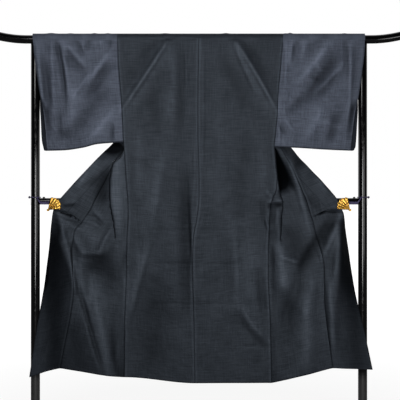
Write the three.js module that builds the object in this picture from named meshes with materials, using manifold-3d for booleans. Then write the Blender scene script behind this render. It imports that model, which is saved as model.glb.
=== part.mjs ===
// A men's kimono hung over a lacquered kimono stand, its back to -Y and its fronts drawn out sideways.
// Millimetres, +Z up, origin on the floor midway between the posts. X runs across the garment.
import * as THREE from "three";
import { mergeVertices } from "three/addons/utils/BufferGeometryUtils.js";
import Module from "manifold-3d";

const wasm = await Module();
wasm.setup();

// ---- Driving sizes ----------------------------------------------------------------------------------
const GAP = 0.3; // between pieces that touch or are sewn together
const WALL = 1.4; // body, sleeve and okumi cloth, with its lining
const COLLAR_WALL = 2; // the folded collar band
const STAND = {
  railZ: 1562, // centre of the top rail
  railR: 17,
  railHalf: 870,
  railStraight: 690, // past this the rail turns up
  railRise: 0.001, // rise per square millimetre past the straight
  postX: 658,
  postR: 18,
  saddle: 14, // the post's top lies this far below the rail's centre
  barZ: 911, // centre of the middle bar
  barR: 13,
  footLong: 440,
  footWide: 46,
  footHigh: 30,
  socketR: 27,
  socketHigh: 28,
};
const RAIL_CLOTH_R = STAND.railR + 0.4 + WALL / 2; // middle of the cloth where it lies over the rail
const HEM_Z = { centre: 184, left: 208, right: 188 }; // height of the back hem
const NECK_HALF = 90; // half width of the neck cut
const CUFF_OPEN_Z = 1330; // the cuff is open above this and sewn below it
const GRID = {
  neckColumns: 4,
  shoulderColumns: 10,
  overRows: 8, // round the rail
  longestRow: 90, // a taller row is halved
  okumiColumns: 4,
  sleeveColumns: 6,
};

const COLOUR = {
  cloth: { color: 0x2b2f38, roughness: 0.8, metalness: 0 },
  lacquer: { color: 0x08080a, roughness: 0.15, metalness: 0 },
  gold: { color: 0xc9962e, roughness: 0.35, metalness: 1 },
  cord: { color: 0x2a1c4a, roughness: 0.7, metalness: 0 },
};

// ---- Tables: one row for each height or section -----------------------------------------------------
// Depth of the middle of the cloth: the back hangs on the near side (-Y), the fronts on the far side.
const DEPTH = [
  { z: 1562, near: -RAIL_CLOTH_R, far: RAIL_CLOTH_R, cuffNear: -RAIL_CLOTH_R, cuffFar: RAIL_CLOTH_R },
  { z: 1530, near: -19.2, far: 17.2, cuffNear: -21, cuffFar: 21 },
  { z: 1440, near: -20.5, far: 8, cuffNear: -23, cuffFar: 20.5 },
  { z: 1316, near: -22, far: -4, cuffNear: -22, cuffFar: 15 },
  { z: 1200, near: -25, far: -15, cuffNear: -18, cuffFar: 4 },
  { z: 1132, near: -27, far: -22.5, cuffNear: -12, cuffFar: -6 },
  { z: 1060, near: -28.5, far: -28.5, cuffNear: -10, cuffFar: -8 },
  { z: 915, near: -31, far: -31, cuffNear: -10, cuffFar: -8 },
  { z: 690, near: -29, far: -29, cuffNear: -10, cuffFar: -8 },
  { z: 150, near: -24, far: -24, cuffNear: -10, cuffFar: -8 },
];
// Centre back seam, and the armhole and side seam of each side, as distances from the middle.
const SEAMS = [
  { z: 1582, centre: 0, left: 328, right: 338 },
  { z: 1468, centre: -2, left: 324, right: 329 },
  { z: 1346, centre: -4, left: 314, right: 318 },
  { z: 1248, centre: -4, left: 307, right: 313 },
  { z: 1172, centre: -4, left: 304, right: 305 },
  { z: 1132, centre: -3, left: 300, right: 301 },
  { z: 1056, centre: -1, left: 294, right: 306 },
  { z: 1004, centre: 0, left: 291, right: 311 },
  { z: 965, centre: 0, left: 288, right: 309 },
  { z: 904, centre: -1, left: 283, right: 288 },
  { z: 860, centre: -6, left: 282, right: 282 },
  { z: 756, centre: -22, left: 287, right: 278 },
  { z: 636, centre: -26, left: 289, right: 276 },
  { z: 436, centre: -21, left: 296, right: 284 },
  { z: 180, centre: -16, left: 298, right: 290 },
];
// Cuff edge of the near and the far sleeve layer, and height of the sleeve's bottom seam.
const CUFFS = {
  left: [
    { z: 1582, near: 668, far: 668 },
    { z: 1460, near: 654, far: 656 },
    { z: 1360, near: 639, far: 645 },
    { z: 1256, near: 622, far: 634 },
    { z: 1116, near: 608, far: 620 },
  ],
  right: [
    { z: 1582, near: 666, far: 666 },
    { z: 1496, near: 660, far: 660 },
    { z: 1344, near: 640, far: 643 },
    { z: 1236, near: 622, far: 634 },
    { z: 1118, near: 608, far: 620 },
  ],
};
const SLEEVE_BOTTOM = {
  left: [
    { x: 300, z: 1149 },
    { x: 400, z: 1142 },
    { x: 464, z: 1127 },
    { x: 540, z: 1117 },
    { x: 620, z: 1115 },
  ],
  right: [
    { x: 300, z: 1130 },
    { x: 400, z: 1126 },
    { x: 500, z: 1120 },
    { x: 620, z: 1115 },
  ],
};
// Each row is a level section of one front, from the side seam outwards. at is the cloth's distance from
// the shoulder, aZ the height at the side seam, bulge and b the rounded fold that stands out beside the
// side seam, c the tuck that turns back behind it, d the okumi seam, s the collar seam (below the
// collar's end the okumi's ridge) and e the outer edge. X is outwards, Y the depth.
const FRONT_KEYS = "at aZ bulge bX bY cX cY dX dY dZ sX sY sZ eX eY eZ".split(" ");
const rowsOf = (keys, rows) => rows.map((row) => Object.fromEntries(keys.map((key, i) => [key, row[i]])));
const FRONTS = {
  left: rowsOf(FRONT_KEYS, [
    [0, 1562, 18, 328, 18, 200, 18, 90, 18, 1562, 90, 18, 1562, 56, 20, 1517],
    [36, 1526, 17, 326, 17, 200, 17.5, 98, 19.5, 1530, 98, 19.5, 1530, 56, 24, 1496],
    [75, 1487, 13, 325, 13, 104, 17, 112, 23, 1490, 112, 23, 1490, 74, 60, 1474],
    [122, 1440, 8, 322, 8, 110, 14, 134, 24, 1442, 134, 24, 1442, 112, 75, 1434],
    [246, 1316, -4, 312, -4, 133, 2, 188, 16, 1318, 188, 16, 1318, 201, 70, 1324],
    [362, 1200, -15, 305, -15, 154, -6, 248, 8, 1200, 248, 8, 1200, 280, 48, 1224],
    [430, 1132, -21, 301, -21, 172, -12, 293, 1, 1130, 293, 1, 1130, 332, 24, 1163],
    [492, 1088, -31, 318, -27, 208, -18, 331, -5, 1082, 331, -5, 1082, 372, 4, 1120],
    [530, 1060, -40, 348, -30, 250, -21, 345, -9, 1054, 352, -9, 1059, 406, -5, 1085],
    [612, 977, -52, 354, -38, 278, -23, 382, -15, 980, 409, -14, 996, 464, -12, 1022],
    [675, 915, -60, 356, -44, 296, -24, 410, -19, 924, 454, -18, 947, 508, -17, 974],
    [745, 845, -58, 346, -44, 300, -27, 443, -21, 862, 503, -19, 894, 555, -19, 922],
    [771, 818, -56, 344, -44, 306, -29, 463, -22, 836, 525, -19, 869, 568, -19, 908],
    [779, 810, -55, 343, -44, 308, -30, 468, -23, 829, 528, -19, 866, 584, -19, 872],
    [781, 808, -55, 343, -44, 308, -30, 469, -23, 827, 530, -21, 848, 585, -19, 868],
    [832, 758, -50, 340, -44, 322, -36, 496, -30, 792, 557, -40, 768, 602, -8, 753],
    [897, 693, -36, 330, -38, 380, -50, 505, -34, 728, 541, -47, 716, 611, 0, 689],
    [1001, 590, -32, 340, -34, 430, -24, 501, -40, 624, 515, -44, 618, 624, 2, 586],
    [1065, 526, -32, 345, -33, 430, -28, 499, -46, 560, 520, -42, 554, 632, -6, 522],
    [1190, 402, -34, 350, -42, 440, -54, 516, -44, 436, 560, -38, 422, 650, -21, 400],
    [1292, 300, -34, 350, -44, 416, -60, 536, -44, 336, 590, -36, 322, 665, -25, 298],
    [1384, 208, -34, 330, -40, 372, -56, 554, -40, 246, 610, -34, 232, 678, -26, 208],
  ]),
  right: rowsOf(FRONT_KEYS, [
    [0, 1562, 18, 338, 18, 200, 18, 90, 18, 1562, 90, 18, 1562, 56, 20, 1517],
    [36, 1526, 17, 335, 17, 200, 17.5, 98, 19.5, 1530, 98, 19.5, 1530, 56, 24, 1496],
    [75, 1487, 13, 332, 13, 104, 17, 112, 23, 1490, 112, 23, 1490, 74, 60, 1474],
    [122, 1440, 8, 327, 8, 112, 14, 138, 24, 1442, 138, 24, 1442, 118, 75, 1434],
    [246, 1316, -4, 316, -4, 143, 2, 207, 15, 1318, 207, 15, 1318, 222, 68, 1326],
    [362, 1200, -15, 308, -15, 167, -6, 272, 6, 1200, 272, 6, 1200, 304, 46, 1226],
    [430, 1132, -21, 302, -21, 186, -12, 322, -2, 1136, 322, -2, 1136, 352, 34, 1162],
    [450, 1112, -26, 309, -23, 196, -14, 340, -5, 1112, 340, -5, 1112, 370, 26, 1132],
    [532, 1030, -31, 322, -26, 222, -20, 382, -12, 1029, 382, -12, 1029, 436, -6, 1052],
    [600, 959, -34, 326, -27, 240, -22, 407, -15, 972, 426, -15, 980, 482, -12, 1003],
    [662, 893, -48, 342, -42, 287, -24, 432, -19, 912, 471, -18, 928, 527, -17, 952],
    [705, 848, -52, 338, -42, 293, -27, 444, -21, 871, 501, -19, 894, 554, -19, 918],
    [720, 832, -52, 337, -42, 295, -28, 449, -21, 854, 512, -19, 881, 566, -19, 892],
    [728, 824, -52, 336, -42, 296, -28, 452, -22, 845, 514, -19, 878, 578, -19, 864],
    [730, 822, -52, 336, -42, 296, -28, 453, -22, 843, 516, -21, 860, 579, -19, 860],
    [784, 772, -48, 332, -43, 306, -34, 463, -26, 800, 566, -32, 803, 588, -10, 806],
    [869, 707, -36, 326, -42, 350, -36, 478, -30, 740, 564, -40, 732, 603, 0, 728],
    [967, 605, -32, 330, -34, 400, -44, 499, -32, 644, 560, -46, 638, 618, 4, 628],
    [1095, 472, -32, 340, -32, 420, -42, 499, -38, 516, 545, -48, 512, 638, -12, 502],
    [1155, 409, -34, 345, -34, 425, -44, 504, -40, 456, 541, -48, 452, 651, -21, 443],
    [1256, 304, -34, 350, -38, 430, -46, 516, -42, 356, 545, -48, 352, 672, -25, 345],
    [1365, 190, -34, 350, -40, 430, -46, 532, -42, 248, 570, -46, 246, 694, -26, 238],
  ]),
};
const COLLAR_END = { left: 779, right: 728 }; // cloth distance where the collar's tip is clipped
const OKUMI_START = { left: 508, right: 552 }; // just below the point of the okumi
const ARMHOLE_END = 430; // cloth distance of the armhole's lower end
// Heights of the cloth's rows beside the armhole, shared by body and sleeve so that their edges match.
const ARMHOLE_LEVELS = [1562, 1515, 1468, 1407, 1346, 1297, 1248, 1210, 1172, 1132];

// The largest soft folds of the back and sleeves, from one point to another: positive ones stand out.
const FOLDS = rowsOf(["x0", "z0", "x1", "z1", "wide", "rise"], [
  [-112, 1560, -292, 1290, 26, 7],
  [122, 1570, 300, 1284, 26, 7],
  [-84, 1548, -100, 1130, 24, 6],
  [-100, 1130, -292, 384, 30, 8],
  [-48, 1120, -30, 340, 26, -6],
  [120, 780, 250, 330, 34, 7],
  [-590, 1500, -580, 1180, 26, -6],
  [-556, 1540, -456, 1448, 20, 6],
  [-350, 1510, -456, 1370, 26, 7],
  [372, 1560, 366, 1470, 14, 7],
  [552, 1496, 404, 1300, 24, -7],
  [600, 1560, 596, 1250, 18, 6],
]);

// ---- Small helpers ----------------------------------------------------------------------------------
const clamp01 = (value) => Math.min(1, Math.max(0, value));
const smooth = (value) => clamp01(value) ** 2 * (3 - 2 * clamp01(value));
const mix = (a, b, t) => a + (b - a) * t;

// A smooth reading of one column of a table that never overshoots its rows.
function reader(rows, key, by) {
  const sorted = [...rows].sort((p, q) => p[by] - q[by]);
  const x = sorted.map((row) => row[by]);
  const y = sorted.map((row) => row[key]);
  const step = x.slice(1).map((value, i) => (y[i + 1] - y[i]) / (value - x[i]));
  const slope = y.map((_, i) => {
    if (i === 0 || i === y.length - 1) return step[Math.min(i, step.length - 1)];
    const [before, after] = [step[i - 1], step[i]];
    return before * after <= 0 ? 0 : (2 * before * after) / (before + after);
  });
  return (at) => {
    const a = Math.min(x[x.length - 1], Math.max(x[0], at));
    const i = Math.max(0, Math.min(x.length - 2, x.findIndex((value) => value >= a) - 1));
    const wide = x[i + 1] - x[i];
    const t = (a - x[i]) / wide;
    const rise = y[i + 1] - y[i];
    const bend = (slope[i] + slope[i + 1]) * wide - 2 * rise;
    return y[i] + t * (slope[i] * wide + t * (3 * rise - (2 * slope[i] + slope[i + 1]) * wide + t * bend));
  };
}

const near = reader(DEPTH, "near", "z");
const far = reader(DEPTH, "far", "z");
const cuffNear = reader(DEPTH, "cuffNear", "z");
const cuffFar = reader(DEPTH, "cuffFar", "z");
const centre = reader(SEAMS, "centre", "z");
const SIGN = { left: -1, right: 1 };
const seamX = { left: reader(SEAMS, "left", "z"), right: reader(SEAMS, "right", "z") };

// How far the named folds push the cloth towards the viewer of the back at a place.
function foldRise(x, z) {
  let total = 0;
  for (const { x0, z0, x1, z1, wide, rise } of FOLDS) {
    const [dx, dz] = [x1 - x0, z1 - z0];
    const along = ((x - x0) * dx + (z - z0) * dz) / (dx * dx + dz * dz);
    const t = clamp01(along);
    const away = Math.hypot(x - x0 - t * dx, z - z0 - t * dz);
    const fade = smooth(4 * t + 0.2) * smooth(4 * (1 - t) + 0.2);
    total += rise * fade * Math.exp(-((away / wide) ** 2));
  }
  return total * smooth((STAND.railZ - z) / 60);
}

// A closed wall from a grid of points: rows of columns, with null where the cloth is cut away.
// With looped, the last row joins the first.
function clothWall(grid, thick, looped = false) {
  const [rows, columns] = [grid.length, grid[0].length];
  const key = (i, j) => ((i + rows) % rows) * columns + j;
  const normals = new Map();
  const cells = [];
  for (let i = 0; i < (looped ? rows : rows - 1); i++)
    for (let j = 0; j < columns - 1; j++) {
      const corners = [[i, j], [i + 1, j], [i + 1, j + 1], [i, j + 1]].map(([p, q]) => [p % rows, q]);
      const points = corners.map(([p, q]) => grid[p][q]);
      if (points.some((point) => !point)) continue;
      const cross = new THREE.Vector3().subVectors(points[2], points[0]);
      cross.cross(new THREE.Vector3().subVectors(points[3], points[1])).normalize();
      const keys = corners.map(([p, q]) => key(p, q));
      for (const k of keys) {
        if (!normals.has(k)) normals.set(k, new THREE.Vector3());
        normals.get(k).add(cross);
      }
      cells.push(keys);
    }
  const positions = [];
  const index = new Map();
  for (const [k, normal] of normals) {
    const point = grid[Math.floor(k / columns)][k % columns];
    normal.normalize();
    index.set(k, positions.length / 3);
    for (const side of [thick / 2, -thick / 2])
      positions.push(...point.clone().addScaledVector(normal, side).toArray());
  }
  const faces = [];
  const edges = new Map();
  for (const keys of cells) {
    const [a, b, c, d] = keys.map((k) => index.get(k));
    faces.push(a, b, c, a, c, d, a + 1, c + 1, b + 1, a + 1, d + 1, c + 1);
    keys.forEach((from, n) => {
      const to = keys[(n + 1) % 4];
      if (edges.has(to + "_" + from)) edges.delete(to + "_" + from);
      else edges.set(from + "_" + to, [index.get(from), index.get(to)]);
    });
  }
  for (const [a, b] of edges.values()) faces.push(a, a + 1, b + 1, a, b + 1, b);
  const geometry = new THREE.BufferGeometry();
  geometry.setAttribute("position", new THREE.Float32BufferAttribute(positions, 3));
  geometry.setIndex(signedVolume(positions, faces) < 0 ? turned(faces) : faces);
  return geometry;
}

// Positive when the faces of a closed mesh look outwards.
function signedVolume(positions, faces) {
  const at = (i) => new THREE.Vector3().fromArray(positions, 3 * i);
  let volume = 0;
  for (let i = 0; i < faces.length; i += 3)
    volume += at(faces[i]).dot(at(faces[i + 1]).cross(at(faces[i + 2])));
  return volume;
}

// The same faces, each looking the other way.
function turned(faces) {
  const out = [...faces];
  for (let i = 0; i < out.length; i += 3) [out[i + 1], out[i + 2]] = [out[i + 2], out[i + 1]];
  return out;
}

// ---- Sections of the fronts -------------------------------------------------------------------------
const SECTION_STEP = 3; // spacing along a section before it is softened
const SECTION_SOFTEN = 14; // passes that round a section's folds
const readers = {};
for (const side of ["left", "right"]) {
  readers[side] = {};
  for (const key of FRONT_KEYS.slice(1)) readers[side][key] = reader(FRONTS[side], key, "at");
}

// One softened section of a front at a cloth distance, with the arc lengths of its seams.
function section(side, at) {
  const r = Object.fromEntries(Object.entries(readers[side]).map(([key, read]) => [key, read(at)]));
  const sign = SIGN[side];
  const aX = seamX[side](r.aZ);
  const onArmhole = at < ARMHOLE_END + 10;
  const aY = onArmhole ? far(r.aZ) : near(r.aZ) - foldRise(sign * aX, r.aZ);
  const outwards = Math.max(0, r.bX - aX);
  const stops = [
    [aX, aY, 0],
    [aX + Math.min(8, outwards / 2), aY, 0],
    [mix(aX, r.bX, 0.5), outwards > 12 ? r.bulge : mix(aY, r.bY, 0.5), 0],
    [r.bX, outwards > 0 ? r.bY : aY, 0],
    [r.cX, r.cY, 0],
    [r.dX, r.dY, 1],
  ];
  const flat = [0];
  for (let i = 1; i < stops.length; i++)
    flat.push(flat[i - 1] + Math.hypot(stops[i][0] - stops[i - 1][0], stops[i][1] - stops[i - 1][1]));
  const legs = stops.map(([x, y], i) => {
    return new THREE.Vector3(x, y, mix(r.aZ, r.dZ, flat[i] / flat[flat.length - 1]));
  });
  legs.push(new THREE.Vector3(r.sX, r.sY, r.sZ), new THREE.Vector3(r.eX, r.eY, r.eZ));
  let points = [legs[0]];
  const marks = [];
  for (let i = 1; i < legs.length; i++) {
    const count = Math.max(1, Math.ceil(legs[i].distanceTo(legs[i - 1]) / SECTION_STEP));
    for (let n = 1; n <= count; n++) points.push(legs[i - 1].clone().lerp(legs[i], n / count));
    marks.push(points.length - 1);
  }
  for (let pass = 0; pass < SECTION_SOFTEN; pass++)
    points = points.map((point, i) => {
      if (i === 0 || i === points.length - 1) return point;
      const beside = new THREE.Vector3().addVectors(points[i - 1], points[i + 1]);
      return beside.multiplyScalar(0.25).addScaledVector(point, 0.5);
    });
  const arc = [0];
  for (let i = 1; i < points.length; i++) arc.push(arc[i - 1] + points[i].distanceTo(points[i - 1]));
  points = points.map((point) => new THREE.Vector3(sign * point.x, point.y, point.z));
  const [okumiSeam, collarSeam] = [arc[marks[4]], arc[marks[5]]];
  return { points, arc, okumiSeam, collarSeam, end: arc[arc.length - 1] };
}

// Points spaced evenly along a section between two arc lengths.
function spaced({ points, arc }, from, to, count) {
  return Array.from({ length: count + 1 }, (_, n) => {
    const at = mix(from, to, n / count);
    let i = arc.findIndex((value) => value >= at);
    if (i < 1) i = 1;
    return points[i - 1].clone().lerp(points[i], clamp01((at - arc[i - 1]) / (arc[i] - arc[i - 1] || 1)));
  });
}

// ---- Pieces of the garment --------------------------------------------------------------------------
// Cloth distances of the rows that every piece of a front shares.
function frontRows(side) {
  const below = FRONTS[side].map(({ at }) => at).filter((at) => at > ARMHOLE_END);
  const rows = [...below, OKUMI_START[side]].sort((p, q) => p - q);
  const dense = rows.flatMap((at, i) => {
    return i && at - rows[i - 1] > GRID.longestRow ? [mix(rows[i - 1], at, 0.5), at] : [at];
  });
  return [...ARMHOLE_LEVELS.map((z) => STAND.railZ - z), ...dense];
}

// Shares of the back's half width at which its columns stand; the first ones span the neck cut.
function backShares(side) {
  const neck = NECK_HALF / seamX[side](STAND.railZ);
  const inner = Array.from({ length: GRID.neckColumns }, (_, j) => (neck * j) / GRID.neckColumns);
  const count = GRID.shoulderColumns;
  const outer = Array.from({ length: count + 1 }, (_, j) => mix(neck, 1, j / count));
  return [...inner, ...outer];
}

// One body panel: back from hem to rail, over the rail, and front down to the hem, cut away at the neck.
function bodyPanel(side) {
  const sign = SIGN[side];
  const shares = backShares(side);
  const rows = frontRows(side);
  const across = (z) => [centre(z) + (sign * GAP) / 2, sign * (seamX[side](z) - GAP / 2)];
  const grid = rows.toReversed().map((at, i) => {
    const sideZ = at > ARMHOLE_END ? readers[side].aZ(at) : STAND.railZ - at;
    const centreZ = mix(HEM_Z.centre, STAND.railZ, i / (rows.length - 1));
    return shares.map((share) => {
      const z = mix(centreZ, sideZ, smooth(share));
      const x = mix(across(z)[0], across(z)[1], share);
      return new THREE.Vector3(x, near(z) - foldRise(x, z), z);
    });
  });
  for (let i = 1; i <= GRID.overRows; i++) {
    const angle = Math.PI * (1 - i / GRID.overRows);
    const z = STAND.railZ + RAIL_CLOTH_R * Math.sin(angle);
    const y = RAIL_CLOTH_R * Math.cos(angle);
    grid.push(shares.map((share) => new THREE.Vector3(mix(across(z)[0], across(z)[1], share), y, z)));
  }
  for (const at of rows.slice(1)) {
    const cut = section(side, at);
    const points = spaced(cut, GAP / 2, cut.okumiSeam - GAP / 2, GRID.shoulderColumns).reverse();
    grid.push([...Array(GRID.neckColumns).fill(null), ...points]);
  }
  return clothWall(grid, WALL);
}

// The okumi, a long gore from the collar seam's point to the hem.
function okumiPanel(side) {
  const rows = frontRows(side).filter((at) => at >= OKUMI_START[side]);
  const grid = rows.map((at) => {
    const cut = section(side, at);
    const outer = at <= COLLAR_END[side] ? cut.collarSeam - GAP / 2 : cut.end;
    return spaced(cut, cut.okumiSeam + GAP / 2, outer, GRID.okumiColumns);
  });
  return clothWall(grid, WALL);
}

// The collar: one band from the left clip up to the neck, round it and down to the right clip.
function collarBand() {
  const across = 2;
  const run = (side) =>
    frontRows(side)
      .filter((at) => at <= COLLAR_END[side])
      .map((at) => {
        const cut = section(side, at);
        return spaced(cut, cut.collarSeam + GAP / 2, cut.end, across);
      });
  const back = [-60, -30, 0, 30, 60].map((x) => {
    const seam = new THREE.Vector3(x, RAIL_CLOTH_R, STAND.railZ - GAP);
    const edge = new THREE.Vector3(0.6 * x, RAIL_CLOTH_R + 2, STAND.railZ - 55);
    return Array.from({ length: across + 1 }, (_, n) => seam.clone().lerp(edge, n / across));
  });
  return clothWall([...run("left").reverse(), ...back, ...run("right")], COLLAR_WALL);
}

// One sleeve: a flat tube over the rail, open at the armhole and the cuff, sewn along its bottom.
function sleeve(side) {
  const sign = SIGN[side];
  const edge = { near: reader(CUFFS[side], "near", "z"), far: reader(CUFFS[side], "far", "z") };
  const bottom = reader(SLEEVE_BOTTOM[side], "z", "x");
  const shares = Array.from({ length: GRID.sleeveColumns + 1 }, (_, j) => j / GRID.sleeveColumns);
  const lowest = bottom(seamX[side](ARMHOLE_LEVELS.at(-1)));
  const levels = [...ARMHOLE_LEVELS.filter((z) => z > lowest + 8), lowest];
  // One point of a layer: share runs from armhole to cuff, level is its height at the armhole.
  const layer = (name, share, level) => {
    const drop = (STAND.railZ - level) / (STAND.railZ - lowest);
    const z = mix(STAND.railZ, bottom(mix(seamX[side](level), edge.near(1130), share)), drop);
    const x = mix(seamX[side](z) + GAP / 2, edge[name](z), share);
    const isNear = name === "near";
    const [inner, outer] = isNear ? [near(z), cuffNear(z)] : [far(z), cuffFar(z)];
    const y = mix(inner, outer, smooth(share)) - (isNear ? foldRise(sign * x, z) : 0);
    const sewn = smooth((share - 0.9) / 0.1) * smooth((CUFF_OPEN_Z - z) / 60);
    const middle = mix(near(z) + far(z), cuffNear(z) + cuffFar(z), share) / 2;
    return new THREE.Vector3(sign * x, mix(y, middle + (isNear ? -WALL : WALL), sewn), z);
  };
  const grid = levels.toReversed().map((level) => shares.map((share) => layer("near", share, level)));
  for (let i = 1; i <= GRID.overRows; i++) {
    const angle = Math.PI * (1 - i / GRID.overRows);
    const z = STAND.railZ + RAIL_CLOTH_R * Math.sin(angle);
    const y = RAIL_CLOTH_R * Math.cos(angle);
    const x = (share) => sign * mix(seamX[side](z) + GAP / 2, edge.near(z), share);
    grid.push(shares.map((share) => new THREE.Vector3(x(share), y, z)));
  }
  for (const level of levels.slice(1)) grid.push(shares.map((share) => layer("far", share, level)));
  return clothWall(grid, WALL, true);
}

// ---- The stand, straps and clips --------------------------------------------------------------------
// A closed geometry as a solid that can be cut and joined.
function solidOf(geometry) {
  const bare = geometry.index ? geometry.toNonIndexed() : geometry.clone();
  bare.deleteAttribute("normal");
  bare.deleteAttribute("uv");
  const merged = mergeVertices(bare, 1e-4);
  const vertProperties = new Float32Array(merged.attributes.position.array);
  const triVerts = new Uint32Array(merged.index.array);
  return new wasm.Manifold(new wasm.Mesh({ numProp: 3, vertProperties, triVerts }));
}

function geometryOf(solid) {
  const mesh = solid.getMesh();
  const geometry = new THREE.BufferGeometry();
  geometry.setAttribute("position", new THREE.BufferAttribute(mesh.vertProperties, 3));
  geometry.setIndex(new THREE.BufferAttribute(mesh.triVerts, 1));
  return geometry;
}

// A round rod along Z, centred on the origin.
function rod(radius, length, sides = 28) {
  return new THREE.CylinderGeometry(radius, radius, length, sides).rotateX(Math.PI / 2);
}

// Height of the rail's middle above its straight part.
const railRise = (x) => STAND.railRise * Math.max(0, Math.abs(x) - STAND.railStraight) ** 2;

function topRail() {
  const half = 12;
  const points = Array.from({ length: 2 * half + 1 }, (_, i) => {
    const x = STAND.railHalf * (i / half - 1);
    return new THREE.Vector3(x, 0, STAND.railZ + railRise(x));
  });
  const extrudePath = new THREE.CatmullRomCurve3(points);
  const round = new THREE.Shape().absarc(0, 0, STAND.railR, 0, 2 * Math.PI);
  return new THREE.ExtrudeGeometry(round, { extrudePath, steps: 26, curveSegments: 12, bevelEnabled: false });
}

// A post from its foot to the rail, hollowed at the top to sit round the rail's underside.
function post(sign) {
  const low = STAND.footHigh + GAP;
  const high = STAND.railZ - STAND.saddle;
  const body = rod(STAND.postR, high - low).translate(sign * STAND.postX, 0, (low + high) / 2);
  const rail = rod(STAND.railR + GAP, 200).rotateY(Math.PI / 2).translate(sign * STAND.postX, 0, STAND.railZ);
  return geometryOf(solidOf(body).subtract(solidOf(rail)));
}

// A bar between the posts, hollowed at its ends to meet them.
function middleBar() {
  let bar = solidOf(rod(STAND.barR, 2 * STAND.postX).rotateY(Math.PI / 2).translate(0, 0, STAND.barZ));
  for (const sign of [-1, 1]) {
    const hole = rod(STAND.postR + GAP, 4 * STAND.barR).translate(sign * STAND.postX, 0, STAND.barZ);
    const beyond = new THREE.BoxGeometry(2 * STAND.postR, 4 * STAND.barR, 4 * STAND.barR);
    beyond.translate(sign * (STAND.postX + STAND.postR), 0, STAND.barZ);
    bar = bar.subtract(solidOf(hole)).subtract(solidOf(beyond));
  }
  return geometryOf(bar);
}

// A flat bar with round ends, lying front to back under the post.
function foot(sign) {
  const [long, wide] = [STAND.footLong / 2, STAND.footWide / 2];
  const outline = new THREE.Shape();
  outline.absarc(0, long - wide, wide, 0, Math.PI);
  outline.absarc(0, wide - long, wide, Math.PI, 2 * Math.PI);
  const upright = { depth: STAND.footHigh, bevelEnabled: false, curveSegments: 10 };
  const bar = new THREE.ExtrudeGeometry(outline, upright);
  return bar.translate(sign * STAND.postX, 0, 0);
}

// A ring that holds the post where it meets the foot.
function socket(sign) {
  const [inner, low, high] = [STAND.postR + GAP, STAND.footHigh + GAP, STAND.footHigh + STAND.socketHigh];
  const profile = [
    [inner, low],
    [STAND.socketR, low],
    [STAND.socketR, high - 5],
    [STAND.socketR - 4, high],
    [inner, high],
    [inner, low],
  ].map(([r, z]) => new THREE.Vector2(r, z));
  return new THREE.LatheGeometry(profile, 32).rotateX(Math.PI / 2).translate(sign * STAND.postX, 0, 0);
}

// Clip: a fan of scallops in front of the collar's tip, a plain jaw behind it and a hinge past its edge.
const CLIP = {
  hingeX: 604, // outwards
  hingeZ: 876,
  reach: 56, // from the hinge to the fan's rim
  spread: 0.66, // half angle of the fan
  lean: 0.72, // direction of its middle above the inward horizontal
  scallops: 5,
  thick: 3,
  clothY: -19,
};

// Outline of the fan from its hinge, its rim scalloped by lobe.
function fanShape(reach, lobe, side) {
  const shape = new THREE.Shape();
  const steps = 6 * CLIP.scallops;
  shape.moveTo(0, 0);
  for (let i = 0; i <= steps; i++) {
    const t = i / steps;
    const angle = CLIP.lean + CLIP.spread * (2 * t - 1);
    const scallop = lobe * Math.abs(Math.sin(Math.PI * CLIP.scallops * t));
    const radius = reach * (0.86 + 0.14 * Math.sin(Math.PI * t)) + scallop;
    shape.lineTo(-SIGN[side] * radius * Math.cos(angle), radius * Math.sin(angle));
  }
  return shape;
}

function clip(side) {
  const place = (geometry, y) =>
    geometry.rotateX(Math.PI / 2).translate(SIGN[side] * CLIP.hingeX, y, CLIP.hingeZ);
  const clear = COLLAR_WALL / 2 + GAP;
  const flat = { depth: CLIP.thick, bevelEnabled: false };
  const front = new THREE.ExtrudeGeometry(fanShape(CLIP.reach, 3, side), flat);
  const thin = { depth: 2, bevelEnabled: false };
  const back = new THREE.ExtrudeGeometry(fanShape(0.6 * CLIP.reach, 0, side), thin);
  const hinge = rod(5, 2 * clear + CLIP.thick + 2, 16).rotateX(Math.PI / 2);
  const middle = CLIP.clothY + (2 - CLIP.thick) / 2;
  return geometryOf(
    solidOf(place(front, CLIP.clothY - clear))
      .add(solidOf(place(back, CLIP.clothY + clear + 2)))
      .add(solidOf(hinge.translate(SIGN[side] * CLIP.hingeX, middle, CLIP.hingeZ))),
  );
}

// Strap: a loop round the post with a knot outside it, and a ribbon from the loop to the clip.
const STRAP = { z: 905, wide: 11, thick: 1.6, loopZ: 927, cord: 2, knot: 5.5, ribbonY: -15.6, endX: 606 };

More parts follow.
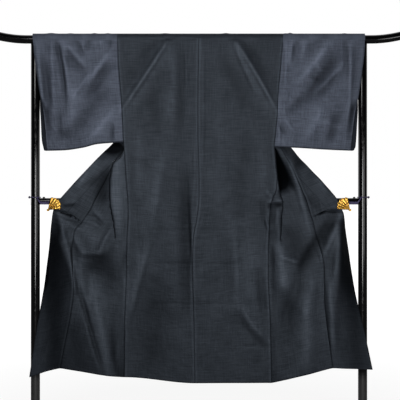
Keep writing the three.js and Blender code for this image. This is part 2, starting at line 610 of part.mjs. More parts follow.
function strap(side) {
  const x = SIGN[side] * STAND.postX;
  const ringR = STAND.postR + GAP + STRAP.cord;
  const loop = new THREE.TorusGeometry(ringR, STRAP.cord, 8, 32).translate(x, 0, STRAP.loopZ);
  const knotX = x + SIGN[side] * (ringR + STRAP.cord);
  const knot = new THREE.SphereGeometry(STRAP.knot, 14, 10).translate(knotX, 0, STRAP.loopZ);
  const outline = new THREE.Shape();
  const [inner, outer] = [STRAP.endX, STAND.postX - 6];
  const low = STRAP.z - STRAP.wide / 2;
  const shoulder = outer - 14; // where the ribbon narrows towards the loop
  const points = [
    [inner, low],
    [shoulder, low],
    [outer, STRAP.loopZ - STRAP.cord],
    [outer, STRAP.loopZ + STRAP.cord],
    [shoulder, low + STRAP.wide],
    [inner, low + STRAP.wide],
  ];
  outline.setFromPoints(points.map(([px, pz]) => new THREE.Vector2(SIGN[side] * px, pz)));
  const ribbon = new THREE.ExtrudeGeometry(outline, { depth: STRAP.thick, bevelEnabled: false });
  ribbon.rotateX(Math.PI / 2).translate(0, STRAP.ribbonY + STRAP.thick / 2, 0);
  const bridge = new THREE.BoxGeometry(14, 8, 2 * STRAP.cord);
  bridge.translate(SIGN[side] * (outer - 2), -STAND.postR - 1, STRAP.loopZ);
  const hole = solidOf(rod(STAND.postR + GAP, 60, 48).translate(x, 0, STRAP.loopZ));
  return geometryOf(solidOf(loop).add(solidOf(knot)).add(solidOf(ribbon)).add(solidOf(bridge)).subtract(hole));
}

// ---- The whole part ---------------------------------------------------------------------------------
const kimonoOnStand = new THREE.Group();

function addPiece(name, geometry, look) {
  const mesh = new THREE.Mesh(geometry, new THREE.MeshStandardMaterial(look));
  mesh.name = name;
  kimonoOnStand.add(mesh);
}

addPiece("top_rail", topRail(), COLOUR.lacquer);
addPiece("middle_bar", middleBar(), COLOUR.lacquer);
addPiece("collar", collarBand(), COLOUR.cloth);
for (const side of ["left", "right"]) {
  addPiece("post_" + side, post(SIGN[side]), COLOUR.lacquer);
  addPiece("foot_" + side, foot(SIGN[side]), COLOUR.lacquer);
  addPiece("socket_" + side, socket(SIGN[side]), COLOUR.lacquer);
  addPiece("body_" + side, bodyPanel(side), COLOUR.cloth);
  addPiece("sleeve_" + side, sleeve(side), COLOUR.cloth);
  addPiece("okumi_" + side, okumiPanel(side), COLOUR.cloth);
  addPiece("clip_" + side, clip(side), COLOUR.gold);
  addPiece("strap_" + side, strap(side), COLOUR.cord);
}

export default kimonoOnStand;
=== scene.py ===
"""A men's kimono hung over a lacquered kimono stand, its back shown and its fronts drawn out sideways.

Lengths in the tables and size classes are millimetres in the frame of the stand: +Z up, the garment's
back to -Y, the origin on the floor midway between the posts. Meshes are written in metres.
"""

from __future__ import annotations

import logging
import math
from dataclasses import dataclass, field
from enum import Enum
from typing import Any, Callable, Sequence

import bpy
import numpy as np
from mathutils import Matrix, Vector


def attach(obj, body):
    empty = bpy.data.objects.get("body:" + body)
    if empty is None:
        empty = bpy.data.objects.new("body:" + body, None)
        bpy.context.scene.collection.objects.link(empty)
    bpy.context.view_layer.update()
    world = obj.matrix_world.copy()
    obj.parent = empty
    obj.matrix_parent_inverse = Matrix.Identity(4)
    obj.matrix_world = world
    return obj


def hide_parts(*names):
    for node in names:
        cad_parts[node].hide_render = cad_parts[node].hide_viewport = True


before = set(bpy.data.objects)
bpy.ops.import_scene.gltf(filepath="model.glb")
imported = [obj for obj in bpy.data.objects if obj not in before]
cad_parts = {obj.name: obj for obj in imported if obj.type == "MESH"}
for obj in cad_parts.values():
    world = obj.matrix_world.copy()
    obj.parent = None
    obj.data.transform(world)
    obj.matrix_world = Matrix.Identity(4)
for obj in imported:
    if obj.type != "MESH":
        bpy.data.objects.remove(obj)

MM = 0.001
BODY = "root"
LOG = logging.getLogger("kimono")

Array = np.ndarray


# ---- Sizes -----------------------------------------------------------------------------------------
class Side(Enum):
    """The viewer's left or right, looking at the garment's back."""

    LEFT = "left"
    RIGHT = "right"

    @property
    def sign(self) -> int:
        """-1 for the left, 1 for the right."""
        return -1 if self is Side.LEFT else 1


@dataclass(frozen=True)
class StandSizes:
    """Sizes of the stand, in millimetres."""

    rail_z: float = 1562
    rail_r: float = 17
    rail_half: float = 870
    rail_straight: float = 690
    rail_rise: float = 0.001
    post_x: float = 658
    post_r: float = 18
    saddle: float = 14
    bar_z: float = 911
    bar_r: float = 13
    foot_long: float = 440
    foot_wide: float = 46
    foot_high: float = 30
    socket_r: float = 27
    socket_high: float = 28


@dataclass(frozen=True)
class ClothSizes:
    """Sizes of the garment, in millimetres."""

    gap: float = 0.1
    wall: float = 1.4
    collar_wall: float = 2.4
    hem_centre: float = 184
    neck_half: float = 90
    cuff_open_z: float = 1330
    armhole_end: float = 430
    row: float = 6
    column: float = 5


STAND = StandSizes()
CLOTH = ClothSizes()
RAIL_CLOTH_R = STAND.rail_r + 0.4 + CLOTH.wall / 2  # middle of the cloth where it lies over the rail


# ---- Curves and tables -----------------------------------------------------------------------------
class Curve:
    """A smooth reading of points (x, y) that never overshoots them."""

    def __init__(self, x: Sequence[float], y: Sequence[float]) -> None:
        """Sorts the points and works out a slope at each.

        Args:
            x: where the values are given.
            y: the values.
        """
        order = np.argsort(x)
        self.x = np.asarray(x, float)[order]
        self.y = np.asarray(y, float)[order]
        step = np.diff(self.y) / np.diff(self.x)
        slope = np.empty_like(self.y)
        slope[0], slope[-1] = step[0], step[-1]
        before, after = step[:-1], step[1:]
        same = before * after > 0
        total = np.where(same, before + after, 1.0)
        slope[1:-1] = np.where(same, 2 * before * after / total, 0.0)
        self.slope = slope

    def __call__(self, at: float | Array) -> Array:
        """Returns the value at each place, held at the first and last beyond them."""
        a = np.clip(at, self.x[0], self.x[-1])
        i = np.clip(np.searchsorted(self.x, a, side="right") - 1, 0, len(self.x) - 2)
        wide = self.x[i + 1] - self.x[i]
        t = (a - self.x[i]) / wide
        rise = self.y[i + 1] - self.y[i]
        m0, m1 = self.slope[i] * wide, self.slope[i + 1] * wide
        return self.y[i] + t * (m0 + t * (3 * rise - 2 * m0 - m1 + t * (m0 + m1 - 2 * rise)))


class Table:
    """Rows of numbers under named columns."""

    def __init__(self, columns: str, rows: Sequence[Sequence[float]]) -> None:
        """Keeps the rows under their names.

        Args:
            columns: the names, with spaces between them.
            rows: one row of numbers for each section or fold.
        """
        self.columns = columns.split()
        self.rows = [dict(zip(self.columns, row)) for row in rows]

    def curve(self, key: str, by: str) -> Curve:
        """Returns one column as a smooth curve over another."""
        return Curve([row[by] for row in self.rows], [row[key] for row in self.rows])


def smooth(value: float | Array) -> Array:
    """Returns a soft step from 0 to 1 as the value goes from 0 to 1."""
    v = np.clip(value, 0, 1)
    return v * v * (3 - 2 * v)


def mix(a: Any, b: Any, t: Any) -> Any:
    """Returns a and b blended, all a at t = 0 and all b at t = 1."""
    return a + (b - a) * t


def ramp(value: Any, start: Any, wide: float) -> Array:
    """Returns a soft step from 0 to 1 as the value goes from start to start + wide."""
    return smooth((value - start) / wide)


def swell(distance: Any, wide: Any, at: float = 0.0) -> Array:
    """Returns a soft rise to 1 at a distance, which dies away over a width to each side."""
    return np.exp(-(((distance - at) / wide) ** 2))


def spread(start: float, end: float, step: float) -> Array:
    """Places from start to end about a step apart, closer at both ends, where a seam rolls in.

    Args:
        start: the first place.
        end: the last place.
        step: the distance between places away from the ends.

    Returns:
        The places in order.
    """
    ends = np.array([1.2, 2.6, 4.4, 7.0])
    margin = 11.0
    count = max(2, round((end - start - 2 * margin) / step))
    middle = np.linspace(start + margin, end - margin, count + 1)
    return np.concatenate([[start], start + ends, middle, end - ends[::-1], [end]])


# Depth of the middle of the cloth: the back hangs on the near side, the fronts on the far side.
DEPTH = Table("z near far cuff_near cuff_far", [
    (1562, -RAIL_CLOTH_R, RAIL_CLOTH_R, -RAIL_CLOTH_R, RAIL_CLOTH_R),
    (1530, -19.2, 17.2, -21, 21),
    (1440, -20.5, 8, -23, 20.5),
    (1316, -22, -4, -22, 15),
    (1200, -25, -15, -18, 4),
    (1132, -27, -22.5, -12, -6),
    (1060, -28.5, -28.5, -10, -8),
    (915, -31, -31, -10, -8),
    (690, -29, -29, -10, -8),
    (150, -24, -24, -10, -8),
])
# Centre back seam, and the armhole and side seam of each side, as distances from the middle.
SEAMS = Table("z centre left right", [
    (1582, 0, 328, 338),
    (1468, -2, 324, 329),
    (1346, -4, 314, 318),
    (1248, -4, 307, 313),
    (1172, -4, 304, 305),
    (1132, -3, 300, 301),
    (1056, -1, 294, 306),
    (1004, 0, 291, 311),
    (965, 0, 288, 309),
    (904, -1, 283, 288),
    (860, -6, 282, 282),
    (756, -22, 287, 278),
    (636, -26, 289, 276),
    (436, -21, 296, 284),
    (180, -16, 298, 290),
])
# Cuff edge of the near and the far sleeve layer.
CUFFS = {
    Side.LEFT: Table("z near far", [
        (1582, 668, 668), (1460, 654, 658), (1372, 641, 647),
        (1256, 622, 637), (1156, 612, 631), (1116, 608, 622),
    ]),
    Side.RIGHT: Table("z near far", [
        (1582, 666, 666), (1496, 660, 660), (1344, 640, 643),
        (1236, 622, 636), (1128, 609, 628), (1118, 608, 622),
    ]),
}
# Height of the sleeve's bottom edge.
SLEEVE_BOTTOM = {
    Side.LEFT: Table("x z", [(300, 1149), (400, 1142), (464, 1127), (540, 1117), (620, 1115)]),
    Side.RIGHT: Table("x z", [(300, 1130), (400, 1126), (500, 1120), (620, 1115)]),
}
# Each row is a level section of one front, from the side seam outwards. at is the cloth's distance from
# the shoulder, aZ the height at the side seam, bulge and b the rounded fold that stands out beside the
# side seam, c the tuck that turns back behind it, d the okumi seam, s the collar seam (below the collar's
# end the okumi's ridge) and e the outer edge. X is outwards, Y the depth.
FRONT_COLUMNS = "at aZ bulge bX bY cX cY dX dY dZ sX sY sZ eX eY eZ"
FRONTS = {
    Side.LEFT: Table(FRONT_COLUMNS, [
        (0, 1562, 18, 328, 18, 200, 18, 90, 18, 1562, 90, 18, 1562, 56, 20, 1517),
        (36, 1526, 17, 326, 17, 200, 17.5, 98, 19.5, 1530, 98, 19.5, 1530, 56, 24, 1496),
        (75, 1487, 13, 325, 13, 104, 17, 112, 23, 1490, 112, 23, 1490, 74, 60, 1474),
        (122, 1440, 8, 322, 8, 110, 14, 134, 24, 1442, 134, 24, 1442, 112, 75, 1434),
        (246, 1316, -4, 312, -4, 133, 2, 188, 16, 1318, 188, 16, 1318, 201, 70, 1324),
        (362, 1200, -15, 305, -15, 154, -6, 248, 8, 1200, 248, 8, 1200, 280, 48, 1224),
        (430, 1132, -21, 301, -21, 172, -12, 293, 1, 1130, 293, 1, 1130, 332, 24, 1163),
        (492, 1088, -30, 322, -28, 232, 14, 331, -5, 1082, 331, -5, 1082, 372, 4, 1120),
        (530, 1060, -32, 350, -31, 280, 26, 345, -9, 1054, 352, -9, 1059, 406, -5, 1085),
        (612, 977, -34, 362, -33, 300, 6, 382, -15, 980, 409, -14, 996, 464, -12, 1022),
        (675, 915, -35, 362, -34, 300, -16, 410, -19, 924, 454, -18, 947, 508, -17, 974),
        (745, 845, -35, 352, -34, 302, -26, 443, -21, 862, 503, -19, 894, 555, -19, 922),
        (771, 818, -35, 347, -34, 306, -28, 463, -22, 836, 525, -19, 869, 568, -19, 908),
        (779, 810, -35, 346, -34, 308, -29, 468, -23, 829, 528, -19, 866, 584, -19, 872),
        (781, 808, -35, 346, -34, 308, -29, 469, -23, 827, 530, -21, 848, 585, -19, 868),
        (832, 758, -34, 341, -34, 326, -33, 496, -30, 792, 557, -40, 768, 602, -8, 753),
        (897, 693, -36, 330, -38, 380, -50, 505, -34, 728, 541, -47, 716, 611, 0, 689),
        (1001, 590, -32, 340, -34, 430, -24, 501, -40, 624, 515, -44, 618, 624, 2, 586),
        (1065, 526, -32, 345, -33, 430, -28, 499, -46, 560, 520, -42, 554, 632, -6, 522),
        (1190, 402, -34, 350, -42, 440, -54, 516, -44, 436, 560, -38, 422, 650, -21, 400),
        (1292, 300, -34, 350, -44, 416, -60, 536, -44, 336, 590, -36, 322, 665, -25, 298),
        (1384, 208, -34, 330, -40, 372, -56, 554, -40, 246, 610, -34, 232, 678, -26, 208),
    ]),
    Side.RIGHT: Table(FRONT_COLUMNS, [
        (0, 1562, 18, 338, 18, 200, 18, 90, 18, 1562, 90, 18, 1562, 56, 20, 1517),
        (36, 1526, 17, 335, 17, 200, 17.5, 98, 19.5, 1530, 98, 19.5, 1530, 56, 24, 1496),
        (75, 1487, 13, 332, 13, 104, 17, 112, 23, 1490, 112, 23, 1490, 74, 60, 1474),
        (122, 1440, 8, 327, 8, 112, 14, 138, 24, 1442, 138, 24, 1442, 118, 75, 1434),
        (246, 1316, -4, 316, -4, 143, 2, 207, 15, 1318, 207, 15, 1318, 222, 68, 1326),
        (362, 1200, -15, 308, -15, 167, -6, 272, 6, 1200, 272, 6, 1200, 304, 46, 1226),
        (430, 1132, -21, 302, -21, 236, 34, 322, -2, 1136, 322, -2, 1136, 352, 34, 1162),
        (450, 1112, -25, 307, -23, 274, 54, 340, -5, 1112, 340, -5, 1112, 370, 26, 1132),
        (532, 1030, -29, 316, -26, 298, 60, 382, -12, 1029, 382, -12, 1029, 436, -6, 1052),
        (568, 994, -31, 320, -27, 300, 54, 395, -14, 999, 405, -14, 1003, 460, -9, 1026),
        (600, 959, -34, 326, -28, 298, 28, 407, -15, 972, 426, -15, 980, 482, -12, 1003),
        (628, 929, -38, 333, -34, 297, -19, 418, -17, 945, 446, -16.5, 957, 502, -14.5, 980),
        (662, 893, -41, 342, -38, 296, -24, 432, -19, 912, 471, -18, 928, 527, -17, 952),
        (705, 848, -41, 338, -38, 298, -27, 444, -21, 871, 501, -19, 894, 554, -19, 918),
        (720, 832, -41, 337, -38, 298, -28, 449, -21, 854, 512, -19, 881, 566, -19, 892),
        (728, 824, -41, 336, -38, 298, -28, 452, -22, 845, 514, -19, 878, 578, -19, 864),
        (730, 822, -41, 336, -38, 298, -28, 453, -22, 843, 516, -21, 860, 579, -19, 860),
        (784, 772, -39, 332, -39, 306, -35, 463, -26, 800, 566, -32, 803, 588, -10, 806),
        (869, 707, -34, 326, -37, 350, -36, 478, -30, 740, 564, -40, 732, 603, 0, 728),
        (967, 605, -32, 330, -34, 400, -44, 499, -32, 644, 560, -46, 638, 618, 4, 628),
        (1095, 472, -32, 340, -32, 420, -42, 499, -38, 516, 545, -48, 512, 638, -12, 502),
        (1155, 409, -34, 345, -34, 425, -44, 504, -40, 456, 541, -48, 452, 651, -21, 443),
        (1256, 304, -34, 350, -38, 430, -46, 516, -42, 356, 545, -48, 352, 672, -25, 345),
        (1365, 185, -34, 350, -40, 430, -46, 532, -42, 248, 570, -46, 246, 694, -26, 238),
    ]),
}
# Small pleats where the cloth turns over the rail.
RAIL_PLEATS = Table("x rise wide", [
    (-594, 2.5, 16), (-516, 1.5, 9), (-420, 2, 8), (-366, 2, 7), (-136, 1.5, 12), (108, 2, 12), (348, 1.5, 6),
    (366, 3.5, 7), (584, 1.5, 8),
])
COLLAR_END = {Side.LEFT: 779, Side.RIGHT: 728}  # cloth distance where the collar's tip is clipped
OKUMI_START = {Side.LEFT: 431, Side.RIGHT: 451}  # the point of the okumi

# Folds run from (x0, z0) to (x1, z1), bowed sideways by bow. wide is the half width and skew widens the
# flank on the right of a fold that runs down (and narrows the other). A positive rise stands out.
FOLD_COLUMNS = "x0 z0 x1 z1 bow wide skew rise"
OUTER_FOLDS = Table(FOLD_COLUMNS, [
    # shoulders
    (-84, 1620, -344, 1222, 4, 34, 0.2, 6),
    (-84, 1620, -344, 1222, 4, 10, 0.0, 5),
    (-170, 1590, -310, 1362, 4, 24, 0.0, -2.2),
    (-100, 1500, -250, 1230, 8, 26, 0.0, -2.5),
    (104, 1614, 338, 1218, 8, 32, -0.2, 6),
    (104, 1614, 338, 1218, 8, 10, 0.0, 5),
    (116, 1600, 250, 1300, -4, 9, 0.0, 3.2),
    (160, 1600, 310, 1360, 0, 22, 0.0, -2.2),
    (90, 1520, 220, 1250, 0, 26, 0.0, -2.5),
    # the back's long folds
    (-112, 1590, -124, 1136, 14, 26, -0.4, 3.5),
    (-74, 1570, -86, 1120, 14, 12, 0.0, -2.2),
    (-52, 1590, -52, 1336, 0, 6, 0.0, 2.0),
    (-126, 1170, -196, 748, -8, 30, -0.4, 5),
    (-196, 780, -304, 384, 3, 26, -0.4, 5.5),
    (-60, 1130, -56, 380, 6, 26, 0.0, -5.5),
    (-46, 930, -22, 330, 3, 7, 0.0, -2.6),
    (-170, 680, -190, 120, 0, 60, 0.0, -4.2),
    (190, 800, 206, 330, 6, 44, 0.3, 4),
    (138, 860, 150, 420, 4, 22, -0.5, 3.8),
    (108, 820, 122, 450, 4, 18, 0.0, -2),
    (140, 470, 280, 310, -10, 18, 0.0, -2.5),
    (156, 510, 280, 344, -10, 16, -0.4, 4.5),
    (238, 660, 262, 420, 0, 15, 0.0, -4),
    (-36, 1100, -30, 360, 4, 11, 0.0, 3),
    (16, 1590, 12, 960, 2, 7, 0.0, 2.6),
    (-18, 1180, -20, 860, 2, 8, 0.0, 2.6),
    (70, 1500, 90, 820, 4, 24, 0.0, 1.8),
    (200, 1240, 150, 800, 0, 22, 0.0, -2.2),
    (250, 1180, 262, 940, 0, 20, 0.0, 2.4),
    (-236, 1240, -250, 900, 0, 22, 0.0, 2.6),
    (-180, 1330, -168, 1140, 0, 18, 0.0, -2.0),
    # creases from the way it was put away
    (-290, 1212, -30, 1214, 0, 4.5, 0.0, -1.1),
    (20, 1118, 290, 1122, 0, 4.5, 0.0, -1.1),
    (-280, 1074, -90, 1070, 0, 4.5, 0.0, -1.0),
    (-280, 996, 270, 992, 0, 4.5, 0.0, -0.9),
    (-270, 796, 250, 800, 0, 4.5, 0.0, -1.0),
    (-260, 664, 240, 660, 0, 4.5, 0.0, -1.0),
    (-250, 504, 260, 500, 0, 4.5, 0.0, -1.0),
    (150, 336, 280, 330, 0, 5.0, 0.0, -1.4),
    # crumples beside the right side seam
    (262, 958, 300, 920, 0, 11, 0.0, 4.5),
    (262, 908, 330, 910, 0, 8, 0.0, 4.5),
    (270, 886, 320, 894, 0, 8, 0.0, -5),
    (258, 860, 286, 780, 0, 9, 0.0, 4),
    (248, 930, 262, 800, 0, 9, 0.0, -3),
    # left sleeve
    (-646, 1590, -600, 1110, -6, 11, 0.0, 4.5),
    (-628, 1510, -600, 1250, 4, 12, 0.0, -5),
    (-596, 1590, -580, 1240, 4, 10, 0.0, 4.5),
    (-586, 1600, -538, 1270, 14, 8, 0.0, -5),
    (-564, 1600, -520, 1290, 10, 11, 0.0, 4.5),
    (-566, 1580, -436, 1430, 0, 14, 0.0, 4.5),
    (-560, 1530, -452, 1410, -4, 16, 0.0, -3.5),
    (-524, 1640, -458, 1476, 0, 9, 0.0, -3.5),
    (-490, 1640, -452, 1490, 0, 10, 0.0, 4),
    (-408, 1640, -466, 1484, 0, 9, 0.0, -3.5),
    (-344, 1530, -460, 1370, 4, 17, 0.0, 6),
    (-346, 1486, -466, 1300, 4, 20, 0.0, -5.5),
    (-380, 1600, -400, 1520, 0, 9, 0.0, 3.5),
    (-352, 1600, -356, 1510, 0, 8, 0.0, -4),
    (-324, 1300, -470, 1128, 6, 22, 0.0, 6),
    (-352, 1380, -500, 1210, 4, 24, 0.0, -4),
    (-500, 1400, -520, 1160, 4, 22, 0.0, 3.5),
    (-440, 1250, -580, 1150, 6, 22, 0.0, -4),
    (-344, 1232, -352, 1140, 0, 6, 0.0, -4),
    (-430, 1440, -520, 1300, 0, 9, 0.0, 3.5),
    (-560, 1280, -556, 1150, 0, 8, 0.0, -3),
    # right sleeve
    (382, 1650, 360, 1440, 0, 10, 0.0, 5),
    (404, 1650, 380, 1460, 0, 11, 0.0, -3),
    (350, 1640, 346, 1340, 0, 7, 0.0, 4),
    (430, 1650, 414, 1470, 0, 12, 0.0, 4),
    (566, 1530, 390, 1270, 10, 24, 0.0, -7),
    (576, 1440, 460, 1310, 0, 17, 0.0, -5),
    (540, 1580, 366, 1360, 10, 20, 0.0, 7),
    (590, 1476, 430, 1320, 6, 14, 0.0, 4.5),
    (500, 1590, 420, 1480, 0, 18, 0.0, -2.5),
    (604, 1640, 596, 1200, 4, 9, 0.0, 4.5),
    (584, 1640, 588, 1380, 0, 9, 0.0, -3.5),
    (636, 1600, 620, 1300, 0, 10, 0.0, -2.5),
    (470, 1460, 500, 1420, 0, 7, 0.0, 2.5),
    (444, 1410, 486, 1392, 0, 7, 0.0, -2.5),
    (308, 1232, 356, 1168, 0, 7, 0.0, -4),
    (334, 1250, 384, 1180, 0, 9, 0.0, 4),
    (320, 1230, 322, 1130, 0, 6, 0.0, 3.5),
    (500, 1300, 420, 1140, 0, 24, 0.0, 6.5),
    (560, 1280, 520, 1130, 0, 18, 0.0, -5.5),
    (420, 1330, 350, 1250, 0, 16, 0.0, -4),
    (480, 1240, 580, 1200, 0, 12, 0.0, 3),
])
# The rounded folds beside the side seams.
STANDING_FOLDS = Table(FOLD_COLUMNS, [
    (-326, 1300, -334, 700, -4, 40, 0.0, 12),
    (-352, 1040, -350, 780, 0, 8, 0.0, 4),
    (312, 840, 336, 660, 0, 10, 0.0, 7),
    (290, 916, 366, 910, 0, 8, 0.0, 9),
    (290, 890, 356, 900, 0, 9, 0.0, -9),
    (342, 894, 334, 790, 0, 9, 0.0, -9),
    (318, 884, 308, 810, 0, 10, 0.0, 5),
    (326, 1240, 346, 890, 0, 34, 0.0, -9),
])
# The outer layers of the fronts, with the okumi and the collar.
PANEL_FOLDS = Table(FOLD_COLUMNS, [
    # left
    (-364, 1060, -408, 876, 0, 26, 0.0, -8),
    (-556, 900, -482, 908, 0, 9, 0.0, 3),
    (-556, 886, -478, 892, 0, 9, 0.0, -2),
    (-548, 878, -460, 806, 0, 9, 0.0, -2.5),
    (-560, 866, -452, 800, -18, 11, 0.0, 4),
    (-480, 836, -370, 796, 6, 10, 0.0, 4.5),
    (-430, 886, -384, 826, 0, 10, 0.0, 3.5),
    (-420, 858, -380, 806, 0, 8, 0.0, -3.5),
    (-508, 800, -456, 694, -4, 13, 0.0, 4.5),
    (-486, 700, -372, 700, 5, 13, 0.0, 4.5),
    (-404, 690, -342, 810, 5, 12, 0.0, 5),
    (-480, 830, -400, 730, 0, 30, 0.0, 4),
    (-414, 760, -320, 520, 0, 42, 0.0, -3.5),
    (-578, 896, -528, 724, 4, 13, 0.0, 6.5),
    (-532, 780, -488, 530, 0, 12, 0.0, 5),
    (-604, 930, -560, -60, -6, 52, 0.0, -6.5),
    (-484, 740, -450, 480, 0, 20, 0.0, 5),
    (-452, 680, -318, 120, 0, 26, 0.0, 7),
    (-500, 640, -356, 150, 0, 9, 0.0, -5),
    (-530, 480, -450, 120, 0, 40, 0.0, -3),
    # left, above the clip
    (-560, 880, -370, 1160, 0, 44, 0.0, 5.5),
    # left collar
    (-372, 1110, -330, 1170, 0, 22, 0.0, -6),
    (-500, 950, -430, 1040, 0, 16, 0.0, 3.5),
    (-440, 960, -400, 1010, 0, 14, 0.0, -3),
    (-404, 1092, -374, 1076, 0, 6, 0.0, -3),
    # right
    (316, 1230, 460, 720, 6, 17, 0.0, 8),
    (350, 840, 416, 660, 0, 32, 0.0, -4),
    (310, 700, 430, 664, -6, 12, 0.0, 5),
    (312, 760, 346, 500, 0, 34, 0.0, 11),
    (580, 900, 380, 600, -8, 20, 0.0, -7),
    (440, 720, 320, 380, 0, 20, 0.0, -2.5),
    (590, 920, 470, 640, 4, 18, 0.0, 8),
    (480, 660, 400, 400, 0, 32, 0.0, 6),
    (566, 840, 532, 540, 0, 15, 0.0, 5),
    (514, 660, 536, 230, 0, 16, 0.0, 7),
    (602, 930, 650, 60, 8, 40, 0.0, -5),
    (440, 560, 420, 180, 0, 44, 0.0, 6.5),
    (360, 560, 344, 300, 0, 24, 0.0, -3),
    # right collar
    (388, 1116, 420, 1040, 0, 18, 0.0, -6),
    (480, 990, 520, 930, 0, 16, 0.0, 4),
    (440, 940, 500, 860, 0, 16, 0.0, -3.5),
    (460, 1010, 500, 980, 0, 8, 0.0, 3),
])
# The sides that face away: the fronts above the clips and the far sleeve layers.
FAR_FOLDS = Table(FOLD_COLUMNS, [
    (-150, 1540, -292, 1250, 6, 24, 0.0, 7),
    (140, 1540, 290, 1260, -6, 24, 0.0, 7),
    (-250, 1500, -240, 1180, 0, 18, 0.0, -5),
    (230, 1500, 250, 1160, 0, 18, 0.0, -5),
    (-600, 1540, -590, 1180, 0, 18, 0.0, -5),
    (-540, 1540, -420, 1380, 0, 20, 0.0, 6),
    (-380, 1480, -470, 1250, 0, 22, 0.0, -5),
    (600, 1540, 596, 1200, 0, 18, 0.0, 5),
    (540, 1500, 400, 1280, 0, 22, 0.0, -6),
    (390, 1540, 470, 1300, 0, 20, 0.0, 5),
])


def relief(folds: Table, x: Array, z: Array) -> Array:
    """Sums how far the folds of a table stand out at each place.

    Args:
        folds: the folds.
        x: places across the garment.
        z: their heights.

    Returns:
        The rise at each place, in millimetres.
    """
    total = np.zeros(np.broadcast(x, z).shape)
    for fold in folds.rows:
        dx, dz = fold["x1"] - fold["x0"], fold["z1"] - fold["z0"]
        length = math.hypot(dx, dz)
        along = ((x - fold["x0"]) * dx + (z - fold["z0"]) * dz) / length**2
        t = np.clip(along, 0, 1)
        away = ((z - fold["z0"]) * dx - (x - fold["x0"]) * dz) / length - fold["bow"] * 4 * t * (1 - t)
        wide = fold["wide"] * (1 + fold["skew"] * np.tanh(away / fold["wide"]))
        reach = np.hypot(away / wide, (along - t) * length / fold["wide"])
        taper = smooth(2.6 * t + 0.1) * smooth(2.6 * (1 - t) + 0.1)
        total += fold["rise"] * taper * swell(reach, wide=1)
    return total


def ripple(u: Array, v: Array, seed: int) -> Array:
    """A soft uneven wave over the cloth, from a few crossing waves.

    Args:
        u: places across the cloth.
        v: places along the cloth.
        seed: chooses the waves.

    Returns:
        The rise at each place.
    """
    waves, shortest, rise = 9, 70, 0.5
    rng = np.random.default_rng(seed)
    total = np.zeros(np.broadcast(u, v).shape)
    for _ in range(waves):
        turn, phase = rng.uniform(0, math.pi), rng.uniform(0, 2 * math.pi)
        length = shortest * rng.uniform(1, 3)
        total += np.sin((u * math.cos(turn) + v * math.sin(turn)) * 2 * math.pi / length + phase)
    return rise * total / math.sqrt(waves)


def seam_roll(distance: Array, sink: float | Array = 1.1, rim: float = 0.5, reach: float = 1.5) -> Array:
    """Returns how far cloth stands out near a seam: it turns in at the seam beside a slight rim."""
    return -sink * swell(distance, reach) + rim * swell(distance, wide=4, at=8)


def seam_painted_light(distance: Array, rise: float = 5.0) -> Array:
    """Returns what a seam adds to the lift that the painted light follows: a painted highlight on the rim
    beside a line of painted shade.
    """
    # dark: the painted shade along the seam line, as millimetres of lift
    dark = 5.0
    return rise * swell(distance, wide=4, at=5) - dark * swell(distance, wide=1)


# ---- Meshes ----------------------------------------------------------------------------------------
class MeshPiece:
    """A named mesh object with its place in its mesh."""

    def __init__(
        self, name: str, points: Array, faces: Sequence[Sequence[int]], smooth_shade: bool = True
    ) -> None:
        """Makes the object from points in millimetres.

        Args:
            name: the object's name.
            points: the points, in millimetres.
            faces: the corners of each face.
            smooth_shade: whether its faces are shaded as one curved surface.
        """
        mesh = bpy.data.meshes.new(name)
        mesh.from_pydata((np.asarray(points) * MM).tolist(), [], [list(face) for face in faces])
        mesh.validate()
        self.object = bpy.data.objects.new(name, mesh)
        bpy.context.collection.objects.link(self.object)
        if smooth_shade:
            mesh.shade_smooth()

    def wear(self, material: bpy.types.Material, slot: str) -> "MeshPiece":
        """Dresses the piece in a material. Returns the piece."""
        if self.object.data.materials.find(material.name) < 0:
            self.object.data.materials.append(material)
        return self

    def stand_for(self, *nodes: str) -> "MeshPiece":
        """Lets the piece ride on the part and stand for CAD nodes. Returns the piece."""
        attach(self.object, BODY)
        if nodes:
            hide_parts(*nodes)
        return self


